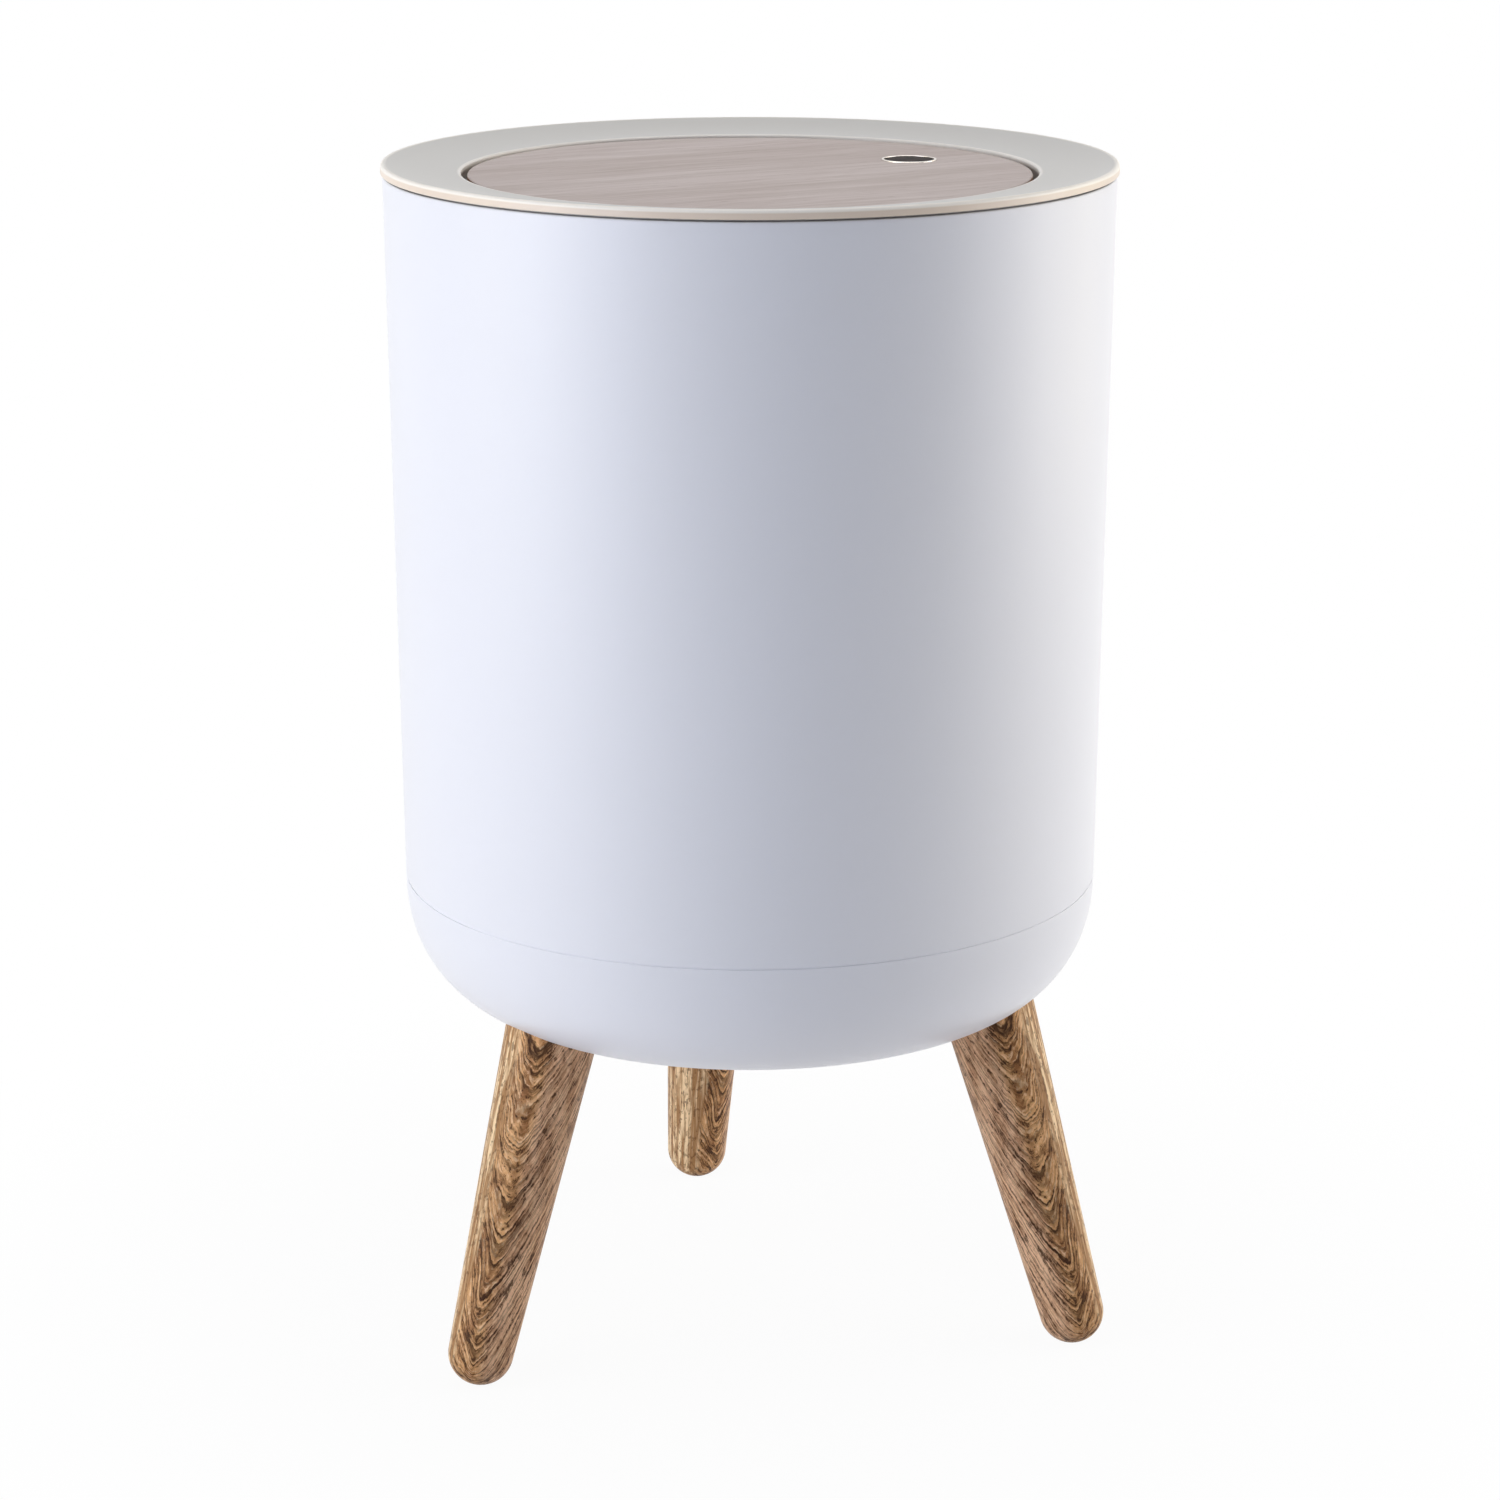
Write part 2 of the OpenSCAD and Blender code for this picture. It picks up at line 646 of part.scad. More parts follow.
// A close-wound spring on the pin: one leg bears on the bracket, the other on the arms' cross bar
module hinge_spring() {
    rest = hinge_wire_d / 2 + 0.2;
    coil_r = pin_bore_r + hinge_wire_d / 2 + 0.5;
    turns = 7;
    steps = turns * 14;
    pitch = hinge_wire_d * 1.2;
    x0 = -pitch * turns / 2;
    front = [-arm_reach + arm_t / 2, -arm_depth + arm_t + rest];
    leave = atan2(front.y, front.x) + 360 - acos(coil_r / norm(front));
    coil = [for (i = [0 : steps])
        let (a = 90 + (leave - 90 + 360 * turns) * i / steps)
        [x0 + pitch * turns * i / steps, coil_r * cos(a), coil_r * sin(a)]];
    color(steel) on_axis() translate([0, hinge_y, hinge_z]) wire(concat(
        [[x0, knuckle_r - rest, coil_r], [x0, 1, coil_r]], coil, [[-x0, front.x, front.y]]
    ), hinge_wire_d / 2, [1, 0, 0], 8);
}

// The guide of the push latch, hung from the lid frame on a bent arm
module latch_housing() {
    flange_x = latch_screw_x + boss_r + 1;
    flange_y = bracket_screw_y + boss_r + 1;
    color(white) on_axis() difference() {
        union() {
            translate([-guide_out_r, latch_y - guide_out_r, latch_z])
                cube([2 * guide_out_r, 2 * guide_out_r, guide_top - latch_z]);
            translate([-guide_out_r, -inner_wall_r - bracket_t, latch_z])
                cube([2 * guide_out_r, inner_wall_r + bracket_t + latch_y, guide_wall]);
            translate([-guide_out_r, -inner_wall_r - bracket_t, latch_z])
                cube([2 * guide_out_r, bracket_t, web_z - latch_z]);
            translate([-flange_x, -flange_y, web_z - bracket_t])
                cube([2 * flange_x, flange_y - inner_wall_r, bracket_t]);
        }
        translate([0, latch_y, guide_floor_z]) cylinder(h = guide_top - guide_floor_z + 1, r = guide_r);
        translate([-guide_out_r - 1, latch_y + follower_y, follower_z]) rotate([0, 90, 0])
            cylinder(h = guide_out_r + 1, r = follower_r + 0.1);
        for (side = [-1, 1]) translate([side * latch_screw_x, latch_screw_y, web_z - bracket_t - 1])
            cylinder(h = bracket_t + 2, r = screw_bore_r);
    }
}

// The wire that turns in the housing's wall and whose bent tip rides in the striker's groove
module latch_follower() {
    bend = 1;
    reach_y = striker_t / 2 - cam_depth + 0.15;
    color(steel) on_axis() translate([0, latch_y, 0]) wire(concat(
        [[-guide_out_r - 0.6, follower_y, follower_z]],
        [for (p = arc(-bend, follower_z + bend, bend, -90, 0, 4)) [p.x, follower_y, p.y]],
        [for (p = arc(follower_y - bend, follower_tip_z - bend, bend, 0, 90, 4)) [0, p.x, p.y]],
        [[0, reach_y, follower_tip_z]]
    ), follower_r, [1, 1, 1], 10);
}

module latch_spring() {
    low = guide_floor_z + latch_wire_d / 2;
    high = striker_z - latch_wire_d / 2 - 0.2;
    coil_r = latch_coil_d / 2;
    turns = 4;
    steps = turns * 14;
    color(steel) on_axis() translate([0, latch_y, 0]) wire([for (i = [0 : steps])
        let (a = 360 * turns * i / steps) [coil_r * cos(a), coil_r * sin(a), low + (high - low) * i / steps]
    ], latch_wire_d / 2, [0, 0, 1], 8);
}

// The face disc, with the badge's recess and four short screw bosses
module panel_top() {
    color(face_wood) on_axis() difference() {
        union() {
            rotate_extrude() polygon([
                [0, disc_z], [panel_r - panel_round, disc_z], [panel_r, disc_z + panel_round],
                each arc(panel_r - panel_round, face_z - panel_round, panel_round, 0, 90, 4), [0, face_z]
            ]);
            around(panel_screw_r, quarters)
                translate([0, 0, plate_z + 0.05]) cylinder(h = panel_plate_t + 0.5, r = panel_boss_r);
        }
        translate([0, badge_y, face_z - badge_recess])
            cylinder(h = badge_recess + 1, r = badge_d / 2 + 0.1);
        around(panel_screw_r, quarters)
            translate([0, 0, plate_z - 1]) cylinder(h = panel_screw_len + 1.2, r = screw_bore_r);
    }
}

// Outline of a swan-neck arm in the y-z plane: knuckle, neck, floor bar and riser
module arm_outline() {
    neck_y = hinge_y - arm_t / 2;
    low_z = hinge_z - arm_depth;
    translate([hinge_y, hinge_z]) circle(r = knuckle_r);
    translate([neck_y - arm_t, low_z]) square([arm_t, arm_depth]);
    translate([hinge_y - arm_reach, low_z]) square([arm_reach - arm_t / 2, arm_t]);
    translate([hinge_y - arm_reach, low_z]) square([arm_t, plate_z + 1 - low_z]);
}

// The moulded underside of the panel, with its skirt and the two arms that reach under the ring
module panel_base() {
    color(white) on_axis() difference() {
        union() {
            translate([0, 0, plate_z]) cylinder(h = panel_plate_t, r = base_r);
            difference() {
                translate([0, 0, plate_z - panel_skirt_h]) cylinder(h = panel_skirt_h + 1, r = base_r);
                translate([0, 0, plate_z - panel_skirt_h - 1])
                    cylinder(h = panel_skirt_h + 3, r = base_r - panel_skirt_t);
            }
            for (side = [-1, 1]) translate([side * arm_x, 0, 0]) along_x(arm_w / 2) arm_outline();
            along_x(arm_x) translate([hinge_y - arm_reach, hinge_z - arm_depth]) square(arm_t);
        }
        around(panel_screw_r, quarters)
            translate([0, 0, plate_z - 1]) cylinder(h = panel_plate_t + 2, r = panel_boss_r + 0.1);
        for (side = [-1, 1]) translate([side * striker_screw_x, latch_y, plate_z - 1])
            cylinder(h = panel_plate_t + 0.5, r = screw_bore_r);
        translate([-lid_r / 2, hinge_y, hinge_z]) rotate([0, 90, 0]) cylinder(h = lid_r, r = pin_bore_r);
        translate([-spring_notch_x, base_r - 6, plate_z - panel_skirt_h - 1])
            cube([2 * spring_notch_x, 8, panel_skirt_h + 1]);
    }
}

// Outline of the cam groove about its notch: a loop around a heart, with its way in from below
module cam_groove() {
    top = press_travel + 2 * follower_r + 0.5;
    way_in = follower_r + 0.4;
    difference() {
        union() {
            offset(r = cam_w, $fn = 24) polygon(cam_heart);
            translate([-cam_w - 1.1, 0]) square([2 * cam_w + 2.2, top]);
            translate([-way_in, -cam_up - 1]) square([2 * way_in, cam_up - 1]);
        }
        polygon(cam_heart);
    }
}

// The catch under the panel's press side: a tongue with the latch's heart-shaped cam groove
module striker() {
    base_x = striker_screw_x + washer_head_r + 0.5;
    base_y = washer_head_r + 0.5;
    color(dark) on_axis() translate([0, latch_y, 0]) difference() {
        union() {
            translate([-base_x, -base_y, plate_z - striker_base_t])
                cube([2 * base_x, 2 * base_y, striker_base_t]);
            translate([-striker_w / 2, -striker_t / 2, striker_z])
                cube([striker_w, striker_t, striker_len - striker_base_t / 2]);
        }
        translate([0, striker_t / 2 + 1, notch_z]) rotate([90, 0, 0])
            linear_extrude(cam_depth + 1) cam_groove();
        for (side = [-1, 1]) translate([side * striker_screw_x, 0, plate_z - striker_base_t - 1])
            cylinder(h = striker_base_t + 2, r = screw_bore_r);
    }
}

module panel_screws() {
    color(steel) on_axis() {
        around(panel_screw_r, quarters)
            translate([0, 0, plate_z]) screw(washer_head_r, washer_head_h, screw_r, panel_screw_len);
        for (side = [-1, 1]) translate([side * striker_screw_x, latch_y, plate_z - striker_base_t])
            screw(washer_head_r, washer_head_h, screw_r, striker_base_t + striker_screw_bite);
    }
}

module badge_disc() {
    radius = badge_d / 2 - badge_rim_w;
    height = badge_recess + badge_proud - 0.2;
    color(dark) on_axis() translate([0, badge_y, face_z - badge_recess]) cylinder(h = height, r = radius);
}

module badge_rim() {
    height = badge_recess + badge_proud;
    inner = badge_d / 2 - badge_rim_w;
    color(steel) on_axis() translate([0, badge_y, face_z - badge_recess]) rotate_extrude() polygon([
        [inner, 0], [badge_d / 2, 0], each arc(badge_d / 2 - 0.3, height - 0.3, 0.3, 0, 90, 3),
        [inner + 0.2, height], [inner, height - 0.2]
    ]);
}

// The waste bucket: foot ring, tapered wall, rim and two ears for the handle
module inner_bucket() {
    floor_under = floor_top + bucket_foot_h;
    rim_low = bucket_top - 3;
    rim_r = bucket_r + bucket_rim_w;
    color(white) on_axis() difference() {
        union() {
            rotate_extrude() polygon([
                [0, floor_under], [bucket_foot_r - bucket_wall, floor_under],
                [bucket_foot_r - bucket_wall, floor_top], [bucket_foot_r, floor_top],
                [bucket_wall_r(rim_low), rim_low], [rim_r, rim_low],
                each arc(rim_r - 1, bucket_top - 1, 1, 0, 90, 4), [0, bucket_top]
            ]);
            for (side = [0, 180]) translate([0, 0, bail_z]) rotate([0, 90, side])
                cylinder(h = bucket_r + bucket_rim_w - 0.4, r = ear_boss_r);
        }
        rotate_extrude() polygon([
            [0, floor_under + bucket_wall],
            [bucket_wall_r(floor_under) - bucket_wall, floor_under + bucket_wall],
            [bucket_r - bucket_wall, bucket_top], [bucket_r - bucket_wall, bucket_top + 1],
            [0, bucket_top + 1]
        ]);
        translate([-lid_r, 0, bail_z]) rotate([0, 90, 0]) cylinder(h = lid_d, r = bail_bore_r);
    }
}

// The wire handle, folded back against the bucket; its two ends are bent inwards into the ears
module bucket_handle() {
    pin_in = bucket_wall_r(bail_z) - bucket_wall - 1;
    color(steel) on_axis() translate([0, 0, bail_z]) union() {
        rotate([-bail_hang, 0, 0]) rotate_extrude(angle = 180)
            translate([bail_r, 0]) circle(r = bail_wire_d / 2);
        for (side = [-1, 1]) {
            translate([side * bail_r, 0, 0]) sphere(r = bail_knuckle_r);
            translate([side < 0 ? -bail_r : pin_in, 0, 0]) rotate([0, 90, 0])
                cylinder(h = bail_r - pin_in, r = bail_wire_d / 2);
        }
    }
}

outer_shell();
base_cup();
leg_rear();
leg_front_left();
leg_front_right();
leg_studs();
leg_inserts();
base_screws();
lid_ring();
lid_frame();
lid_screws();
hinge_bracket();
latch_housing();
bracket_screws();
hinge_pin();
hinge_spring();
latch_follower();
latch_spring();
panel_top();
panel_base();
striker();
panel_screws();
badge_disc();
badge_rim();
inner_bucket();
bucket_handle();
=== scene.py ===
"""Looks of a push-top bin on three splayed legs. Metres, +Z up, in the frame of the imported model."""

import json
import math

import bmesh
import bpy
from mathutils import Matrix, Vector


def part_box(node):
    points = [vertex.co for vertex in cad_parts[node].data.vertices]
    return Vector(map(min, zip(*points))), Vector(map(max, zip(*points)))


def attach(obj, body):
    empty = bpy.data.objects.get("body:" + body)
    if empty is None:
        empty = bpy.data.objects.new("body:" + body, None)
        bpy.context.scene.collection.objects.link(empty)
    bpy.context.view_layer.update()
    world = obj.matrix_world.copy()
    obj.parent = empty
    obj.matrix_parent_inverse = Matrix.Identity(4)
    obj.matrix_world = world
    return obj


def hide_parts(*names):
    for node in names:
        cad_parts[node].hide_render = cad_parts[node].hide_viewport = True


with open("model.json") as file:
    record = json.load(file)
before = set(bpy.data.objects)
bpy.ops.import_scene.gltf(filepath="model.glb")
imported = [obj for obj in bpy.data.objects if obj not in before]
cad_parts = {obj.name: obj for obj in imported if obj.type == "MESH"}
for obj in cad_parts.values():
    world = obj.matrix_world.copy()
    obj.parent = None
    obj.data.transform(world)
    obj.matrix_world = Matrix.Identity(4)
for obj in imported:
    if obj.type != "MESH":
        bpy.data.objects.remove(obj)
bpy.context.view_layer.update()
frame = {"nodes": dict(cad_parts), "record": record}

MM = 0.001
RECORD = frame["record"]

# Places and sizes that the frame gives
RING_LOW, RING_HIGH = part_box("lid_ring")
SHELL_LOW, SHELL_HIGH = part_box("outer_shell")
CUP_LOW, CUP_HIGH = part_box("base_cup")
FACE_LOW, FACE_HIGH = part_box("panel_top")
BADGE_LOW, BADGE_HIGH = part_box("badge_rim")
AXIS_Y = (RING_LOW.y + RING_HIGH.y) / 2
LID_R = (RING_HIGH.x - RING_LOW.x) / 2
TOTAL_H = RING_HIGH.z
SHELL_R = (SHELL_HIGH.x - SHELL_LOW.x) / 2
RIM_Z = SHELL_HIGH.z
FACE_Z = FACE_HIGH.z
PANEL_R = (FACE_HIGH.x - FACE_LOW.x) / 2
VIEW_Z = 0.214
CENTRE = Vector((0, AXIS_Y, VIEW_Z))
ON_AXIS = Matrix.Translation((0, AXIS_Y, 0))
FEET = {m["name"].replace("foot", "leg"): Vector(m["pos_m"]) for m in RECORD["mounts"]}

# Barrel and cup
SEAM_GAP = 0.4 * MM
GROOVE_DEEP = 0.35 * MM
SHOULDER_GAP = 0.03 * MM
BARREL_TAPER = 2.8 * MM
BARREL_WALL = 2.4 * MM
BARREL_FLOOR = 2.6 * MM
BARREL_SKIRT = 6 * MM
RIM_ROUND = 1.1 * MM
RIM_ROUND_INSIDE = 0.5 * MM
SKIRT_ROUND_INSIDE = 0.8 * MM
FLOOR_ROUND = 2 * MM
SEAM_ROUND = 0.15 * MM
SEAM_Z = SHELL_LOW.z - SEAM_GAP / 2
SEAM_R = SHELL_R - BARREL_TAPER
CUP_WALL = 2.6 * MM
CUP_CORNER_W = 46.8 * MM
CUP_CORNER_POWER = 0.9
CUP_CORNER_START, CUP_CORNER_START_INSIDE = 3, 25
SPIGOT_PLAY = 0.3 * MM
SPIGOT_R = SEAM_R - BARREL_WALL - SPIGOT_PLAY
SPIGOT_WALL = 2.4 * MM
SPIGOT_ROUND = 0.5 * MM
SPIGOT_DEEP = 12 * MM
FLOOR_Z = SEAM_Z + BARREL_SKIRT

# Legs
LEG_TILT = math.radians(16.5)
FOOT_R = 11.8 * MM
FOOT_FLAT_R = 3.5 * MM
FOOT_Z = math.sqrt(FOOT_R**2 - FOOT_FLAT_R**2)
LEG_PLUG = 15 * MM
LEG_LEN = (CUP_LOW.z + LEG_PLUG - FOOT_Z) / math.cos(LEG_TILT)
LEG_TOP_R = 16.7 * MM
LEG_STRAIGHT = 13 * MM
LEG_TOP_ROUND = 0.8 * MM
LEG_PLAY = 0.25 * MM
LEG_SEAT = 0.05 * MM
SOCKET_R = LEG_TOP_R + LEG_PLAY
SOCKET_CUT = 33 * MM
# Turn of the grain's arcs from the camera's azimuth, and the side with the pale stripes (1 left, -1 right)
LEG_GRAIN = {"leg_rear": (-12, 1), "leg_front_left": (12, -1), "leg_front_right": (42, 1)}

# Lid ring and panel
HOLE_R = 101.8 * MM
BAND_H = 3.3 * MM
BAND_WALL = 1.6 * MM
LID_DISH = 3.5 * MM
DISH_POWER = 1.7
LID_SKIN = 2 * MM
BAND_ROUND = 1.2 * MM
BAND_CHAMFER = 0.2 * MM
LIP_ROUND = 0.8 * MM
COLLAR_WALL = 2 * MM
LIP_Z = TOTAL_H - LID_DISH
BAND_Z = TOTAL_H - BAND_H
COLLAR_Z = RING_LOW.z
BAY_X = 24.5 * MM
BAY_ROOF_GAP = 0.2 * MM
FACE_T = 2.5 * MM
FACE_ROUND = 0.6 * MM
FACE_EDGE_CHAMFER = 0.6 * MM
BADGE_Y = (BADGE_LOW.y + BADGE_HIGH.y) / 2
BADGE_R = (BADGE_HIGH.x - BADGE_LOW.x) / 2
BADGE_RIM_W = 0.9 * MM
BADGE_PLAY = 0.1 * MM
BADGE_ROUND_OUTSIDE, BADGE_ROUND_INSIDE = 0.3 * MM, 0.2 * MM
BADGE_SUNK = 0.2 * MM
BADGE_CROWN = 0.12 * MM

# View of the photograph
CAMERA_AZIMUTH = 239.6
CAMERA_ELEVATION = 15.38
CAMERA_DISTANCE = 1.494
CAMERA_LENS = 97.83
SENSOR = 36

# Studio: soft boxes as (turn from the camera, elevation, distance, width, height, watts, colour).
# SIDE_BOX is what the four at the sides share, from elevation to height.
SIDE_BOX = (11, 1.5, 1.2, 1.3)
COOL, PLAIN, WARM = (0.90, 1.0, 1.27), (1.0, 1.0, 1.04), (1.08, 1.0, 0.80)
LIGHTS = {
    "left_far": (-72, *SIDE_BOX, 9.6, WARM),
    "left_near": (-54, *SIDE_BOX, 11.0, COOL),
    "right_near": (88, *SIDE_BOX, 13.0, PLAIN),
    "right_far": (110, *SIDE_BOX, 6.8, WARM),
    "top": (180, 85, 1.8, 1.4, 1.4, 13.0, PLAIN),
}
FLOOR_SIZE = 40.0
FLOOR_PAINT = (0.85, 0.85, 0.86)
SHADOW_NEAR, SHADOW_FAR = 0.1, 0.4
SHADOW_WHITENESS = 0.95

# Meshes: steps of a full turn, and the angle from which an edge is sharp
TURN_STEPS = 240
BADGE_STEPS = 128
LEG_STEPS = 96
CUT_STEPS = 96
SHARP_ANGLE = math.radians(32)


# ---------------------------------------------------------------- mesh helpers


def fillet(corners, steps=6, support=0.25 * MM):
    """Points of an open outline from (a, b) or (a, b, radius) corners; each radius becomes an arc."""
    points = []
    for i, corner in enumerate(corners):
        here = Vector(corner[:2])
        radius = corner[2] if len(corner) > 2 else 0
        if not radius:
            points.append(here)
            continue
        before = (Vector(corners[i - 1][:2]) - here).normalized()
        after = (Vector(corners[(i + 1) % len(corners)][:2]) - here).normalized()
        half = before.angle(after) / 2
        reach = radius / math.tan(half)
        centre = here + (before + after).normalized() * radius / math.sin(half)
        start = here + before * reach
        turn = (start - centre).angle_signed(here + after * reach - centre)
        points.append(start + before * support)
        for k in range(steps + 1):
            arm = (start - centre).copy()
            arm.rotate(Matrix.Rotation(-turn * k / steps, 2))
            points.append(centre + arm)
        points.append(here + after * (reach + support))
    return points


def new_piece(name, build, body, slot_name, material, *replaced):
    """A mesh object filled by build(bmesh), riding on a body and standing for CAD nodes."""
    mesh = bpy.data.meshes.new(name)
    bm = bmesh.new()
    build(bm)
    bmesh.ops.recalc_face_normals(bm, faces=bm.faces)
    bm.to_mesh(mesh)
    bm.free()
    piece = bpy.data.objects.new(name, mesh)
    bpy.context.scene.collection.objects.link(piece)
    mesh.materials.append(material)
    smooth(piece)
    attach(piece, body)
    if replaced:
        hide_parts(*replaced)
    return piece


def smooth(piece):
    mesh = piece.data
    mesh.polygons.foreach_set("use_smooth", [True] * len(mesh.polygons))
    mesh.set_sharp_from_angle(angle=SHARP_ANGLE)


def revolve(bm, outline, matrix, segments=TURN_STEPS):
    """Turns a closed outline of (radius, height) points about the Z axis of matrix."""
    rings = []
    for r, z in outline:
        if r < 1e-7:
            rings.append([bm.verts.new(matrix @ Vector((0, 0, z)))])
            continue
        turns = (2 * math.pi * k / segments for k in range(segments))
        rings.append([bm.verts.new(matrix @ Vector((r * math.cos(t), r * math.sin(t), z))) for t in turns])
    for low, high in zip(rings, rings[1:] + rings[:1]):
        if len(low) == 1 and len(high) == 1:
            continue
        for k in range(segments):
            near, far = k % len(low), (k + 1) % len(low)
            corners = [low[near], low[far], high[(k + 1) % len(high)], high[k % len(high)]]
            bm.faces.new(list(dict.fromkeys(corners)))


def rod(bm, radius, start, end, matrix):
    """A plain cylinder between two heights, used to cut."""
    revolve(bm, [(0, start), (radius, start), (radius, end), (0, end)], matrix, CUT_STEPS)


def cut(piece, build):
    """Cuts the shape that build(bmesh) makes out of a piece."""
    mesh = bpy.data.meshes.new("tool")
    bm = bmesh.new()
    build(bm)
    bmesh.ops.recalc_face_normals(bm, faces=bm.faces)
    bm.to_mesh(mesh)
    bm.free()
    tool = bpy.data.objects.new("tool", mesh)
    bpy.context.scene.collection.objects.link(tool)
    modifier = piece.modifiers.new("cut", "BOOLEAN")
    modifier.operation = "DIFFERENCE"
    modifier.object = tool
    modifier.solver = "EXACT"
    shown = piece.evaluated_get(bpy.context.evaluated_depsgraph_get())
    result = bpy.data.meshes.new_from_object(shown)
    piece.modifiers.clear()
    old = piece.data
    piece.data = result
    result.name = piece.name
    bpy.data.meshes.remove(old)
    bpy.data.objects.remove(tool)
    bpy.data.meshes.remove(mesh)
    smooth(piece)


def leg_place(foot):
    """Leg frame: origin at the middle of the round foot, Z up the leg, X away from the bin's axis."""
    angle = math.atan2(foot.y - AXIS_Y, foot.x)
    return (
        Matrix.Translation((foot.x, foot.y, FOOT_Z))
        @ Matrix.Rotation(angle, 4, "Z")
        @ Matrix.Rotation(-LEG_TILT, 4, "Y")
    )


def from_side(azimuth, elevation, distance):
    """Point seen from the centre at an azimuth (0 is in front, -Y) and elevation in degrees."""
    a, e = math.radians(azimuth), math.radians(elevation)
    return CENTRE + distance * Vector((math.sin(a) * math.cos(e), -math.cos(a) * math.cos(e), math.sin(e)))


# ---------------------------------------------------------------- material helpers


class Shade:
    """A material with its node tree, and short calls for the nodes that are used here."""

    def __init__(self, name, constants):
        self.material = bpy.data.materials.new(name)
        self.material.use_nodes = True
        self.tree = self.material.node_tree
        self.shader = self.tree.nodes["Principled BSDF"]
        for socket, value in constants.items():
            self.shader.inputs[socket].default_value = value
        self.place = self.node("ShaderNodeTexCoord").outputs["Object"]

    def node(self, kind, inputs=None, **settings):
        made = self.tree.nodes.new(kind)
        for name, value in settings.items():
            setattr(made, name, value)
        for socket, value in (inputs or {}).items():
            self.feed(made.inputs[socket], value)
        return made

    def feed(self, socket, value):
        if isinstance(value, bpy.types.NodeSocket):
            self.tree.links.new(value, socket)
        else:
            socket.default_value = value

    def calc(self, operation, a, b=0.0, c=0.0):
        return self.node("ShaderNodeMath", {0: a, 1: b, 2: c}, operation=operation).outputs[0]

    def stretch(self, scale, vector=None):
        inputs = {"Vector": vector or self.place, "Scale": scale}
        return self.node("ShaderNodeMapping", inputs).outputs[0]

    def noise(self, vector, scale, detail, roughness=0.5):
        inputs = {"Vector": vector, "Scale": scale, "Detail": detail, "Roughness": roughness}
        return self.node("ShaderNodeTexNoise", inputs).outputs["Fac"]

    def span(self, value, low, high, to_low=0.0, to_high=1.0, soft=True):
        kind = "SMOOTHSTEP" if soft else "LINEAR"
        inputs = {"Value": value, "From Min": low, "From Max": high, "To Min": to_low, "To Max": to_high}
        return self.node("ShaderNodeMapRange", inputs, interpolation_type=kind).outputs[0]

    def mix(self, factor, a, b):
        made = self.node("ShaderNodeMix", data_type="RGBA")
        self.feed(made.inputs[0], factor)
        for socket, value in zip((made.inputs[6], made.inputs[7]), (a, b)):
            self.feed(socket, value if isinstance(value, bpy.types.NodeSocket) else (*value, 1.0))
        return made.outputs[2]

    def radius(self, centre_y):
        """Distance from an upright axis through (0, centre_y)."""
        x, y, _ = self.node("ShaderNodeSeparateXYZ", {0: self.place}).outputs
        out = self.calc("SUBTRACT", y, centre_y)
        return self.calc("SQRT", self.calc("ADD", self.calc("POWER", x, 2.0), self.calc("POWER", out, 2.0)))

    def height(self):
        return self.node("ShaderNodeSeparateXYZ", {0: self.place}).outputs[2]

    def color(self, value):
        self.feed(self.shader.inputs["Base Color"], value)

    def painted_gap_shade(self, value, reach, depth):
        """Painted shade: the colour, darkened by depth where other surfaces stand closer than reach."""
        open_share = self.node("ShaderNodeAmbientOcclusion", {"Distance": reach}, samples=8).outputs["AO"]
        return self.mix(self.span(open_share, 0.75, 0.15, 0.0, depth), value, (0.02, 0.018, 0.016))

    def roughness(self, value):
        self.feed(self.shader.inputs["Roughness"], value)

    def bump(self, *layers):
        """Layers of (height, strength, distance), the coarsest first."""
        normal = None
        for height, strength, distance in layers:
            inputs = {"Height": height, "Strength": strength, "Distance": distance}
            if normal:
                inputs["Normal"] = normal
            normal = self.node("ShaderNodeBump", inputs).outputs[0]
        self.feed(self.shader.inputs["Normal"], normal)


def tint(color, factor):
    return tuple(min(1.0, c * factor) for c in color)


def moulded_plastic(
    name, color, roughness, grain_mm, grain_depth, *, specular=0.5, cloud=0.01, gaps_above=0.0
):
    """Moulded plastic: faint flow clouds, slightly uneven gloss, a fine tool grain and painted shade in its
    gaps.

    The painted shade in gaps darkens above the height gaps_above only, so that the barrel's fine seam stays
    as light as it is.
    """
    s = Shade(name, {"Specular IOR Level": specular})
    clouds = s.noise(s.place, 6.0, 2.0, 0.4)
    cloudy = s.mix(s.span(clouds, 0.2, 0.8), tint(color, 1 - cloud), tint(color, 1 + cloud))
    # Painted shade: above gaps_above, gaps darken towards near-black by ambient occlusion
    depth = s.calc("MULTIPLY", s.calc("GREATER_THAN", s.height(), gaps_above), 0.9)
    s.color(s.painted_gap_shade(cloudy, 4 * MM, depth))
    patches = s.noise(s.place, 14.0, 2.0, 0.4)
    s.roughness(s.span(patches, 0.2, 0.8, roughness - 0.02, roughness + 0.02))
    grain = s.noise(s.place, 1.0 / (grain_mm * MM), 2.0, 0.6)
    s.bump((grain, grain_depth, 0.02 * MM))
    return s.material


